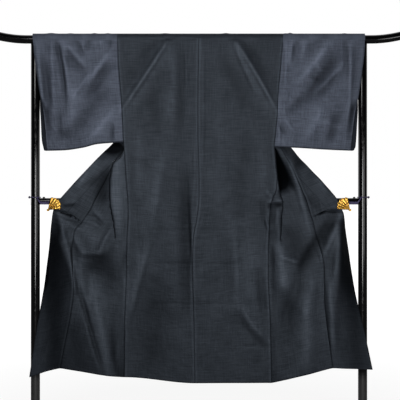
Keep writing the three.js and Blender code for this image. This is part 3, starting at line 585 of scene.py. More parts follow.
class ClothPiece(MeshPiece):
    """A cut piece of cloth, made from a grid of points, with empty places where it is cut away."""

    # The painted light: a brightness stored at each point that mixes the silk with a near-black copy; painted
    # highlights on ridges and up-facing cloth, painted shade where the cloth turns sideways, in troughs, in
    # tucks and along seams.
    PAINTED_FLAT = 0.5  # painted light of flat cloth that faces the front
    PAINTED_TURN_SHADE = 4.5  # how fast the painted shade deepens where the cloth turns away
    PAINTED_RIDGE_LIGHT = 0.09  # share of painted highlight added for each millimetre that a fold stands out; troughs get painted shade
    PAINTED_TOP_LIGHT = 0.4  # share of painted light added where the cloth faces up
    PAINTED_LEAST = 0.03

    def __init__(
        self, name: str, grid: Array, uv: Array, lift: Array, wall: float, looped: bool = False
    ) -> None:
        """Makes the piece and gives it its painted light and shade and its wall.

        Args:
            name: the object's name.
            grid: rows by columns by 3, in millimetres, not a number where the cloth is cut away.
            uv: rows by columns by 2: distances across and along the cloth, in millimetres.
            lift: rows by columns: how far the folds stand out there, with painted highlights and shade added;
                the painted light follows it.
            wall: the cloth's thickness.
            looped: whether the last row joins the first.
        """
        rows, columns = grid.shape[:2]
        there = ~np.isnan(grid[..., 0])
        index = np.full((rows, columns), -1)
        index[there] = np.arange(there.sum())
        below = np.arange(rows if looped else rows - 1)
        above = (below + 1) % rows
        corners = np.stack(
            [index[below, :-1], index[above, :-1], index[above, 1:], index[below, 1:]], axis=-1
        ).reshape(-1, 4)
        whole = (corners >= 0).all(axis=1)
        super().__init__(name, grid[there], corners[whole].tolist())
        mesh = self.object.data
        layer = mesh.uv_layers.new(name="weave")
        loop_vertex = np.empty(len(mesh.loops), np.int32)
        mesh.loops.foreach_get("vertex_index", loop_vertex)
        layer.data.foreach_set("uv", (uv[there][loop_vertex] * MM).astype(np.float32).ravel())
        self._paint_light(lift[there])
        shell = self.object.modifiers.new("wall", "SOLIDIFY")
        shell.thickness = wall * MM
        shell.offset = 0.0
        shell.use_even_offset = False

    def _paint_light(self, lift: Array) -> None:
        """Stores the painted light: painted highlights on the ridges and where the cloth faces up, painted
        shade in the troughs and where the cloth turns sideways.

        Args:
            lift: how far the folds stand out at each point, with painted highlights and shade added.
        """
        mesh = self.object.data
        flat = np.empty(3 * len(mesh.vertices), np.float32)
        mesh.vertices.foreach_get("normal", flat)
        normal = flat.reshape(-1, 3)
        up = -np.sign(normal[:, 1]) * normal[:, 2]
        facing = np.sqrt(np.clip(normal[:, 1] ** 2 + 0.7 * np.maximum(0, up) ** 2, 0, 1))
        ridge = np.maximum(0, 1 + self.PAINTED_RIDGE_LIGHT * lift)
        painted_light = self.PAINTED_FLAT * facing**self.PAINTED_TURN_SHADE * ridge * (1 + self.PAINTED_TOP_LIGHT * up)
        layer = mesh.attributes.new("painted_light", "FLOAT", "POINT")
        layer.data.foreach_set("value", np.clip(painted_light, self.PAINTED_LEAST, 1).astype(np.float32))

    def declare(self, flat: tuple[float, float], area: float | None, *stitches: MeshPiece) -> "ClothPiece":
        """Returns the piece unchanged; the size it was cut to is not kept.

        Args:
            flat: the cut's width and length in metres; not used.
            area: its flat area in square metres where it is not a rectangle; not used.
            stitches: the rows of stitches on it; not used.

        Returns:
            The piece.
        """
        return self


# ---- Node trees ------------------------------------------------------------------------------------
class Wire:
    """A node's output that takes part in sums."""

    def __init__(self, tree: "NodeTree", socket: bpy.types.NodeSocket) -> None:
        """Keeps the output and the tree it is in."""
        self.tree = tree
        self.socket = socket

    def _math(self, operation: str, *values: "Wire | float") -> "Wire":
        """Returns a Math node's result on these values."""
        inputs = {i: value for i, value in enumerate(values)}
        return self.tree.node("ShaderNodeMath", {"operation": operation}, inputs)

    def __add__(self, other: "Wire | float") -> "Wire":
        """Returns self + other."""
        return self._math("ADD", self, other)

    __radd__ = __add__

    def __sub__(self, other: "Wire | float") -> "Wire":
        """Returns self - other."""
        return self._math("SUBTRACT", self, other)

    def __rsub__(self, other: float) -> "Wire":
        """Returns other - self."""
        return self._math("SUBTRACT", other, self)

    def __mul__(self, other: "Wire | float") -> "Wire":
        """Returns self * other."""
        return self._math("MULTIPLY", self, other)

    __rmul__ = __mul__

    def __abs__(self) -> "Wire":
        """Returns the value without its sign."""
        return self._math("ABSOLUTE", self)

    def clamped(self, low: float, high: float) -> "Wire":
        """Returns the value mapped from low..high to 0..1 and held there."""
        return self.tree.node("ShaderNodeMapRange", {"clamp": True}, {0: self, 1: low, 2: high})


class NodeTree:
    """A node tree that is filled by one method."""

    def __init__(self, tree: bpy.types.NodeTree) -> None:
        """Empties the tree."""
        self.tree = tree
        tree.nodes.clear()

    def node(
        self,
        kind: str,
        settings: dict[str, Any] | None = None,
        inputs: dict[str | int, Any] | None = None,
        output: str | int = 0,
    ) -> Wire:
        """Adds a node.

        Args:
            kind: the node's type.
            settings: its properties.
            inputs: a value or a wire for each socket, by name or number.
            output: the output wanted.

        Returns:
            The output as a wire.
        """
        made = self.tree.nodes.new(kind)
        for key, value in (settings or {}).items():
            setattr(made, key, value)
        for key, value in (inputs or {}).items():
            socket = made.inputs[key]
            if isinstance(value, Wire):
                self.tree.links.new(value.socket, socket)
            else:
                socket.default_value = value
        return Wire(self, made.outputs[output] if len(made.outputs) else made.inputs[0])

    def place(self) -> Wire:
        """Returns the place on the object."""
        return self.node("ShaderNodeTexCoord", {}, {}, "Object")

    def noise(self, where: Wire, scale: float, detail: float = 2.0, roughness: float = 0.5) -> Wire:
        """Returns a noise value at a place."""
        return self.node(
            "ShaderNodeTexNoise",
            {"noise_dimensions": "3D"},
            {"Vector": where, "Scale": scale, "Detail": detail, "Roughness": roughness},
            "Fac",
        )

    def streaks(self, where: Wire, scale: Sequence[float], detail: float, roughness: float) -> Wire:
        """Returns a noise value at a place whose axes are each scaled by their own number."""
        inputs = {"Vector": where, "Scale": scale}
        scaled = self.node("ShaderNodeMapping", {"vector_type": "POINT"}, inputs, "Vector")
        return self.noise(scaled, 1.0, detail, roughness)

    def mixed(self, factor: "Wire | float", a: Any, b: Any) -> Wire:
        """Returns two colours mixed."""
        return self.node("ShaderNodeMix", {"data_type": "RGBA"}, {"Factor": factor, 6: a, 7: b}, 2)

    def bump(self, height: Wire, strength: float, distance: float, **under: Wire) -> Wire:
        """Returns the normal of a relief, laid over another one where it is given as Normal."""
        inputs = {"Strength": strength, "Distance": distance, "Height": height, **under}
        return self.node("ShaderNodeBump", {}, inputs)

    def principled(self, inputs: dict[str, Any]) -> Wire:
        """Returns a Principled surface with these sockets set."""
        return self.node("ShaderNodeBsdfPrincipled", {}, inputs)

    def finish(self, surface: Wire) -> None:
        """Gives the material its surface."""
        self.node("ShaderNodeOutputMaterial", {}, {"Surface": surface})


def new_material(name: str) -> tuple[bpy.types.Material, NodeTree]:
    """Makes an empty node material. Returns it with its tree."""
    material = bpy.data.materials.new(name)
    material.use_nodes = True
    return material, NodeTree(material.node_tree)


# ---- Detail along paths ----------------------------------------------------------------------------
class Growth(Enum):
    """What geometry nodes make of a path."""

    CORD = "twisted_cord"
    PICKS = "picks"


class PathTree:
    """A geometry node tree that follows the edges of a path, with its sizes as named inputs."""

    SIZES = {
        Growth.CORD: {"Step": 0.0012, "Radius": 0.002, "Turns": 14.0, "Strands": 3},
        Growth.PICKS: {"Step": 0.012, "Radius": 0.0005, "Stretch": 2.0, "Seed": 7},
    }

    def __init__(self, growth: Growth) -> None:
        """Builds the tree.

        Args:
            growth: what it makes of the path.
        """
        self.group = bpy.data.node_groups.new(growth.value, "GeometryNodeTree")
        self.keys: dict[str, str] = {}
        self._socket("Path", "Geometry")
        for name, size in self.SIZES[growth].items():
            self._socket(name, "Int" if isinstance(size, int) else "Float", size)
        self._socket("Material", "Material")
        self.group.interface.new_socket("Geometry", in_out="OUTPUT", socket_type="NodeSocketGeometry")
        self.tree = NodeTree(self.group)
        line = self.tree.node("GeometryNodeMeshToCurve", {}, {"Mesh": self._given("Path")})
        points = self.tree.node(
            "GeometryNodeResampleCurve", {"mode": "LENGTH"}, {"Curve": line, "Length": self._given("Step")}
        )
        made = self._cord(points) if growth is Growth.CORD else self._picks(points)
        soft = self.tree.node("GeometryNodeSetShadeSmooth", {}, {0: made})
        whole = self.tree.node("GeometryNodeRealizeInstances", {}, {0: soft})
        worn = {0: whole, "Material": self._given("Material")}
        dressed = self.tree.node("GeometryNodeSetMaterial", {}, worn)
        self.tree.node("NodeGroupOutput", {}, {"Geometry": dressed})

    def _socket(self, name: str, kind: str, value: float | None = None) -> None:
        """Adds a named input with its first value."""
        socket = self.group.interface.new_socket(name, in_out="INPUT", socket_type=f"NodeSocket{kind}")
        if value is not None:
            socket.default_value = value
        self.keys[name] = socket.identifier

    def _given(self, name: str) -> Wire:
        """Returns an input of the tree."""
        return self.tree.node("NodeGroupInput", {}, {}, name)

    def _cord(self, points: Wire) -> Wire:
        """Twists strands round the path. Returns the mesh."""
        along = self.tree.node("GeometryNodeSplineParameter", {}, {}, "Factor")
        tilt = along * self._given("Turns") * (2 * math.pi)
        curve = self.tree.node("GeometryNodeSetCurveTilt", {}, {"Curve": points, "Tilt": tilt})
        radius = self._given("Radius")
        ring = self.tree.node(
            "GeometryNodeMeshCircle", {}, {"Vertices": self._given("Strands"), "Radius": radius * 0.5}
        )
        strand = self.tree.node(
            "GeometryNodeCurvePrimitiveCircle", {}, {"Resolution": 8, "Radius": radius * 0.54}
        )
        placed = self.tree.node("GeometryNodeInstanceOnPoints", {}, {"Points": ring, "Instance": strand})
        profile = self.tree.node("GeometryNodeRealizeInstances", {}, {0: placed})
        return self.tree.node(
            "GeometryNodeCurveToMesh", {}, {"Curve": curve, "Profile Curve": profile, "Fill Caps": True}
        )

    def _picks(self, points: Wire) -> Wire:
        """Sets a bead or a stitch at each step of the path. Returns the instances."""
        ahead = self.tree.node("GeometryNodeInputTangent")
        turn = self.tree.node("FunctionNodeAlignRotationToVector", {"axis": "Z"}, {"Vector": ahead})
        bead = self.tree.node(
            "GeometryNodeMeshUVSphere", {}, {"Segments": 8, "Rings": 6, "Radius": self._given("Radius")}
        )
        uneven = self.tree.node(
            "FunctionNodeRandomValue",
            {"data_type": "FLOAT_VECTOR"},
            {0: (0.9, 0.9, 0.85), 1: (1.1, 1.1, 1.15), "Seed": self._given("Seed")},
        )
        long = self.tree.node("ShaderNodeCombineXYZ", {}, {0: 1.0, 1: 1.0, 2: self._given("Stretch")})
        scale = self.tree.node("ShaderNodeVectorMath", {"operation": "MULTIPLY"}, {0: uneven, 1: long})
        return self.tree.node(
            "GeometryNodeInstanceOnPoints",
            {},
            {"Points": points, "Instance": bead, "Rotation": turn, "Scale": scale},
        )


class GrownPiece(MeshPiece):
    """A plain mesh that geometry nodes made along one or more paths."""

    TREES: dict[Growth, PathTree] = {}

    def __init__(
        self,
        name: str,
        paths: Sequence[Array],
        growth: Growth,
        material: bpy.types.Material,
        sizes: dict[str, float],
        closed: bool = False,
    ) -> None:
        """Grows the piece.

        Args:
            name: the object's name.
            paths: the points of each path, in millimetres.
            growth: what is made of them.
            material: what it wears.
            sizes: values for the tree's inputs, in metres.
            closed: whether each path's end joins its start.
        """
        edges, start = [], 0
        for path in paths:
            count = len(path)
            edges += [(start + i, start + (i + 1) % count) for i in range(count if closed else count - 1)]
            start += count
        mesh = bpy.data.meshes.new(f"{name}_path")
        mesh.from_pydata((np.concatenate(paths) * MM).tolist(), edges, [])
        self.object = bpy.data.objects.new(name, mesh)
        bpy.context.collection.objects.link(self.object)
        if growth not in self.TREES:
            self.TREES[growth] = PathTree(growth)
        tree = self.TREES[growth]
        nodes = self.object.modifiers.new("grow", "NODES")
        nodes.node_group = tree.group
        for key, value in {**sizes, "Material": material}.items():
            nodes[tree.keys[key]] = value
        seen = self.object.evaluated_get(bpy.context.evaluated_depsgraph_get())
        grown = bpy.data.meshes.new_from_object(seen)
        self.object.modifiers.remove(nodes)
        self.object.data = grown
        bpy.data.meshes.remove(mesh)
        grown.name = name


# ---- Finishes --------------------------------------------------------------------------------------
@dataclass(frozen=True)
class SlubbedSilk:
    """Dark silk whose uneven warp and weft show as fine crossing streaks, with a faint sheen."""

    deep: tuple[float, float, float] = (0.0110, 0.0144, 0.0192)
    light: tuple[float, float, float] = (0.0620, 0.0715, 0.0910)
    roughness: float = 0.60
    uneven: float = 0.24
    specular: float = 1.0
    tint: tuple[float, float, float] = (0.72, 0.84, 1.0)
    sheen: float = 0.15
    sheen_tint: tuple[float, float, float] = (0.55, 0.65, 0.90)
    crumple: float = 0.0035

    def make(self, name: str) -> bpy.types.Material:
        """Returns the material, which follows each piece's own weave and its painted light and shade."""
        material, tree = new_material(name)
        weave = tree.node("ShaderNodeUVMap", {"uv_map": "weave"})
        painted_light = tree.node("ShaderNodeAttribute", {"attribute_name": "painted_light"}, {}, "Fac")
        threads, height = self._weave(tree, weave)
        normal = self._relief(tree, weave, height)
        colour = tree.mixed(threads.clamped(0.41, 0.59), (*self.deep, 1), (*self.light, 1))
        roughness = threads.clamped(0.38, 0.62) * -self.uneven + (self.roughness + self.uneven / 2)
        # worn is the lit silk and dark a near-black copy of it: the painted light attribute mixes these lit
        # and shaded copies, painting light and shade onto the cloth.
        worn = self._surface(tree, colour, roughness, normal, self.specular, self.sheen)
        dark = self._surface(tree, (0.0006, 0.0008, 0.0012, 1), self.roughness, normal, 0.05, 0.0)
        tree.finish(tree.node("ShaderNodeMixShader", {}, {0: painted_light, 1: dark, 2: worn}))
        return material

    @staticmethod
    def _weave(tree: NodeTree, weave: Wire) -> tuple[Wire, Wire]:
        """Adds the uneven threads and slubs of both directions.

        Args:
            tree: the material's tree.
            weave: the place on the cloth.

        Returns:
            How light the threads are, and their height.
        """
        weft = tree.streaks(weave, (16, 560, 1), 3.0, 0.65)
        warp = tree.streaks(weave, (560, 16, 1), 3.0, 0.65)
        slubs = tree.streaks(weave, (13, 290, 1), 2.0, 0.7)
        ribs = tree.streaks(weave, (330, 9, 1), 2.0, 0.7)
        cloud = tree.streaks(weave, (9, 7, 1), 3.0, 0.6)
        weights = 2 * 0.4 + 0.5 + 0.26 + 0.22
        threads = ((weft + warp) * 0.4 + slubs * 0.5 + ribs * 0.26 + cloud * 0.22) * (1 / weights)
        return threads, weft * 0.5 + warp * 0.5 + (slubs + ribs) * 0.5

    def _relief(self, tree: NodeTree, weave: Wire, height: Wire) -> Wire:
        """Adds the relief of the threads and of soft and sharp crumples. Returns the normal."""
        soft = tree.streaks(weave, (24, 17, 1), 4.0, 0.6)
        sharp = abs(tree.streaks(weave, (13, 9, 1), 3.0, 0.6) - 0.5)
        fine = tree.bump(height, 0.45, 0.0008)
        return tree.bump(soft - sharp * 1.6, 0.7, self.crumple, Normal=fine)

    def _surface(
        self, tree: NodeTree, colour: Any, roughness: Any, normal: Wire, specular: float, sheen: float
    ) -> Wire:
        """Adds one surface of the silk.

        Args:
            tree: the material's tree.
            colour: its base colour.
            roughness: its roughness.
            normal: its relief.
            specular: how much it mirrors.
            sheen: how much it glows at its edges.

        Returns:
            The surface.
        """
        return tree.principled({
            "Base Color": colour,
            "Roughness": roughness,
            "Specular IOR Level": specular,
            "Specular Tint": (*self.tint, 1),
            "Sheen Weight": sheen,
            "Sheen Roughness": 0.45,
            "Sheen Tint": (*self.sheen_tint, 1),
            "Normal": normal,
        })


@dataclass(frozen=True)
class Lacquer:
    """Glossy black paint on steel tube, with a soft unevenness and fine dust; near the floor it is rougher
    and painted grey, a painted reflection of the pale floor.
    """

    colour: tuple[float, float, float] = (0.0025, 0.0025, 0.003)
    # painted reflection of the pale floor, grey on the tube near the floor
    floor_reflection_grey: tuple[float, float, float] = (0.042, 0.042, 0.042)
    dust: tuple[float, float, float] = (0.02, 0.02, 0.022)
    floor_reflection_below: tuple[float, float] = (0.19, 0.23)  # heights in metres that the change is spread over
    roughness: float = 0.10

    def make(self, name: str) -> bpy.types.Material:
        """Returns the material, on object coordinates."""
        material, tree = new_material(name)
        place = tree.place()
        peel = tree.noise(place, 90.0, 2.0)
        dust = tree.noise(place, 900.0, 2.0, 0.7)
        scuff = tree.streaks(place, (8, 8, 60), 4.0, 0.7)
        # Near the floor the lacquer turns rougher and is painted grey, a painted reflection of the pale
        # floor.
        low = 1.0 - tree.node("ShaderNodeSeparateXYZ", {}, {0: place}, 2).clamped(*self.floor_reflection_below)
        dusted = tree.mixed(dust.clamped(0.62, 0.8) * 0.25, (*self.colour, 1), (*self.dust, 1))
        tree.finish(tree.principled({
            "Base Color": tree.mixed(low, dusted, (*self.floor_reflection_grey, 1)),
            "Roughness": scuff.clamped(0.45, 0.8) * 0.12 + low * 0.35 + self.roughness,
            "Specular IOR Level": 0.5,
            "Normal": tree.bump(peel, 0.04, 0.0005),
        }))
        return material


@dataclass(frozen=True)
class Gilt:
    """Polished gilt metal, darker in random patches of tarnish."""

    bright: tuple[float, float, float] = (0.86, 0.50, 0.10)
    dark: tuple[float, float, float] = (0.30, 0.14, 0.02)

    def make(self, name: str) -> bpy.types.Material:
        """Returns the material, on object coordinates."""
        material, tree = new_material(name)
        tarnish = tree.noise(tree.place(), 160.0, 3.0, 0.6)
        tree.finish(tree.principled({
            "Base Color": tree.mixed(tarnish.clamped(0.4, 0.75), (*self.bright, 1), (*self.dark, 1)),
            "Metallic": 1.0,
            "Roughness": tarnish.clamped(0.3, 0.8) * 0.2 + 0.22,
            "Normal": tree.bump(tarnish, 0.15, 0.0004),
        }))
        return material


@dataclass(frozen=True)
class Braid:
    """Satin ribbon and twisted cord."""

    colour: tuple[float, float, float] = (0.016, 0.010, 0.060)
    light: tuple[float, float, float] = (0.05, 0.035, 0.16)
    sheen: float = 0.3

    def make(self, name: str) -> bpy.types.Material:
        """Returns the material, on object coordinates."""
        material, tree = new_material(name)
        threads = tree.streaks(tree.place(), (300, 300, 2400), 2.0, 0.6)
        tree.finish(tree.principled({
            "Base Color": tree.mixed(threads.clamped(0.35, 0.65), (*self.colour, 1), (*self.light, 1)),
            "Roughness": 0.45,
            "Sheen Weight": self.sheen,
            "Normal": tree.bump(threads, 0.3, 0.0005),
        }))
        return material


@dataclass
class Finishes:
    """The materials of the part, one for each finish."""

    silk: bpy.types.Material = field(default_factory=lambda: SlubbedSilk().make("slubbed_silk"))
    # The sleeves wear a paler copy of the silk: painted light, for the brighter light the sleeves catch.
    sleeve_lit_silk: bpy.types.Material = field(
        default_factory=lambda: SlubbedSilk(
            deep=(0.098, 0.114, 0.154), light=(0.254, 0.289, 0.384), tint=(0.70, 0.80, 1.0), crumple=0.009
        ).make("sleeve_lit_slubbed_silk")
    )
    thread: bpy.types.Material = field(
        default_factory=lambda: Braid(
            colour=(0.006, 0.0075, 0.011), light=(0.016, 0.019, 0.025), sheen=0.0
        ).make("silk_thread")
    )
    lacquer: bpy.types.Material = field(default_factory=lambda: Lacquer().make("black_lacquer"))
    gilt: bpy.types.Material = field(default_factory=lambda: Gilt().make("gilt"))
    braid: bpy.types.Material = field(default_factory=lambda: Braid().make("purple_braid"))


# ---- The studio ------------------------------------------------------------------------------------
@dataclass(frozen=True)
class SoftLight:
    """A soft rectangular light, in metres and watts."""

    name: str
    place: tuple[float, float, float]
    aim: tuple[float, float, float]
    size: tuple[float, float]
    power: float


@dataclass
class Studio:
    """Camera, pale floor and soft light."""

    focal: float = 81.0
    distance: float = 3.62
    height: float = 0.916
    across: float = 0.004
    white: float = 1.0
    lights: tuple[SoftLight, ...] = (
        SoftLight("softbox_top", (0, -2.0, 2.3), (0, 0, 1.0), (0.7, 0.7), 5.0),
        SoftLight("softbox_left", (-0.7, -2.1, 1.9), (0, 0, 1.0), (0.7, 0.7), 9.0),
        SoftLight("softbox_front", (0, -3.9, 0.75), (0, 0, 0.7), (1.0, 1.0), 36.0),
        SoftLight("softbox_right", (1.6, -2.2, 0.9), (0, 0, 1.0), (0.7, 0.7), 7.4),
    )

    def build(self) -> None:
        """Makes the camera, floor, lights and surroundings."""
        self._camera()
        self._floor()
        for light in self.lights:
            self._light(light)
        self._world()

    def _camera(self) -> None:
        """Puts the camera level, in front of the garment's back."""
        data = bpy.data.cameras.new("camera")
        data.lens = self.focal
        data.sensor_width = 36.0
        camera = bpy.data.objects.new("camera", data)
        camera.location = (self.across, -self.distance, self.height)
        camera.rotation_euler = (math.pi / 2, 0, 0)
        bpy.context.collection.objects.link(camera)
        bpy.context.scene.camera = camera

    def _floor(self) -> None:
        """Lays the pale floor."""
        half = 150000.0
        corners = [(-half, -half, 0), (half, -half, 0), (half, half, 0), (-half, half, 0)]
        floor = MeshPiece("floor", np.array(corners), [(0, 1, 2, 3)], smooth_shade=False)
        material, tree = new_material("pale_floor")
        away = tree.node("ShaderNodeVectorMath", {"operation": "LENGTH"}, {0: tree.place()}, "Value")
        seen = tree.node("ShaderNodeLightPath", {}, {}, "Is Camera Ray")
        tree.finish(tree.principled({
            "Base Color": (0.16, 0.16, 0.16, 1),
            "Roughness": 0.8,
            "Specular IOR Level": 0.0,
            "Emission Color": (1, 1, 1, 1),
            "Emission Strength": (away.clamped(0.8, 4.0) * 0.25 + 0.85) * seen,
        }))
        floor.object.data.materials.append(material)

    @staticmethod
    def _light(light: SoftLight) -> None:
        """Hangs one soft light and aims it."""
        data = bpy.data.lights.new(light.name, "AREA")
        data.shape = "RECTANGLE"
        data.size, data.size_y = light.size
        data.energy = light.power
        lamp = bpy.data.objects.new(light.name, data)
        lamp.location = light.place
        lamp.visible_camera = False
        towards = Vector(light.aim) - Vector(light.place)
        lamp.rotation_euler = towards.to_track_quat("-Z", "Y").to_euler()
        bpy.context.collection.objects.link(lamp)

    def _world(self) -> None:
        """Surrounds the set with white behind the garment and a dim room in front of it."""
        world = bpy.data.worlds.new("studio")
        bpy.context.scene.world = world
        world.use_nodes = True
        tree = NodeTree(world.node_tree)
        place = tree.node("ShaderNodeTexCoord", {}, {}, "Generated")
        depth = tree.node("ShaderNodeSeparateXYZ", {}, {0: place}, 1)
        room = tree.mixed(depth.clamped(0.0, 0.25), (0.004, 0.004, 0.004, 1), (1.0, 1.0, 1.0, 1))
        seen = tree.node("ShaderNodeLightPath", {}, {}, "Is Camera Ray")
        colour = tree.mixed(seen, room, (self.white, self.white, self.white, 1))
        background = tree.node("ShaderNodeBackground", {}, {"Color": colour, "Strength": 1.0})
        tree.node("ShaderNodeOutputWorld", {}, {"Surface": background})
        bpy.context.scene.view_settings.view_transform = "Standard"


# ---- The garment -----------------------------------------------------------------------------------
NEAR = DEPTH.curve("near", "z")
FAR = DEPTH.curve("far", "z")
CUFF_NEAR = DEPTH.curve("cuff_near", "z")
CUFF_FAR = DEPTH.curve("cuff_far", "z")
CENTRE = SEAMS.curve("centre", "z")
SEAM_X = {side: SEAMS.curve(side.value, "z") for side in Side}
ARMHOLE_Z = STAND.rail_z - CLOTH.armhole_end
STITCH_PROUD = CLOTH.wall / 2 + 0.2  # from the middle of the cloth to the middle of a stitch
NEARER = np.array([0, -STITCH_PROUD, 0])
OVER_ROWS = 16  # rows of points over the rail
OVER_TURN = np.pi * (1 - np.arange(1, OVER_ROWS + 1) / OVER_ROWS)[:, None]


def off_rail(z: Array, drop: float) -> Array:
    """Returns a soft step from 0 at the rail's height to 1 at a drop below it."""
    return ramp(STAND.rail_z - z, 0, drop)


def hung(x: Array, z: Array) -> Array:
    """Returns the relief of the outer folds, which dies away where the cloth lies on the rail."""
    return relief(OUTER_FOLDS, x, z) * off_rail(z, 14)


def woven(u: Array, v: Array) -> Array:
    """Returns the places on the weave of columns at u and rows at v, in millimetres."""
    return np.stack(np.broadcast_arrays(u[None, :], v[:, None]), axis=2)


def stitched(name: str, paths: Sequence[Array], finishes: Finishes, step: float, seed: int) -> GrownPiece:
    """Sews a row of stitches along each path.

    Args:
        name: the object's name.
        paths: the rows' middle lines, in millimetres.
        finishes: the materials.
        step: the distance between stitches, in metres.
        seed: chooses how uneven they are.

    Returns:
        The stitches.
    """
    stitches = GrownPiece(name, paths, Growth.PICKS, finishes.thread, {"Step": step, "Seed": seed})
    stitches.wear(finishes.thread, "cloth").stand_for()
    return stitches


def over_rail(x: Array, angle: Array) -> tuple[Array, Array]:
    """Returns the depth and height of the cloth round the rail, with small pleats along its top.

    Args:
        x: places along the rail.
        angle: the turn about the rail, 0 on the far side and pi on the near side.

    Returns:
        The depth and the height, in millimetres.
    """
    loose = 4.5 + 0 * x
    for pleat in RAIL_PLEATS.rows:
        loose = loose + pleat["rise"] * swell(x, pleat["wide"], pleat["x"])
    depth = RAIL_CLOTH_R * np.cos(angle) + 0 * x
    return depth, STAND.rail_z + (RAIL_CLOTH_R + loose) * np.sin(angle)


@dataclass
class Section:
    """One softened section of a front, with the places of its seams along it."""

    points: Array
    arc: Array
    fold: float
    tuck: float
    okumi_seam: float
    collar_seam: float
    at_distance: float

    @property
    def end(self) -> float:
        """The section's whole length."""
        return float(self.arc[-1])

    def at(self, places: Array) -> Array:
        """Returns the points at these distances along the section."""
        return np.stack([np.interp(places, self.arc, self.points[:, i]) for i in range(3)], axis=1)

    def outward(self, places: Array, reach: float = 5.0) -> Array:
        """Returns level unit normals on the outer side of a section that runs towards +X.

        Args:
            places: distances along the section.
            reach: how far to each side the direction is taken over.

        Returns:
            A normal for each place.
        """
        along = self.at(places + reach) - self.at(places - reach)
        level = np.stack([along[:, 1], -along[:, 0], 0 * along[:, 0]], axis=1)
        return level / np.maximum(np.linalg.norm(level, axis=1, keepdims=True), 1e-9)


@dataclass
class Patch:
    """A grid of points on a front, with distances along its sections, outward normals and its folds' rise,
    with painted shade in it.
    """

    points: Array
    arcs: Array
    outward: Array
    lift: Array

    def raised(self, rise: Array) -> "Patch":
        """Returns the patch with each point moved outwards by its rise."""
        return Patch(self.points + self.outward * rise[..., None], self.arcs, self.outward, self.lift)


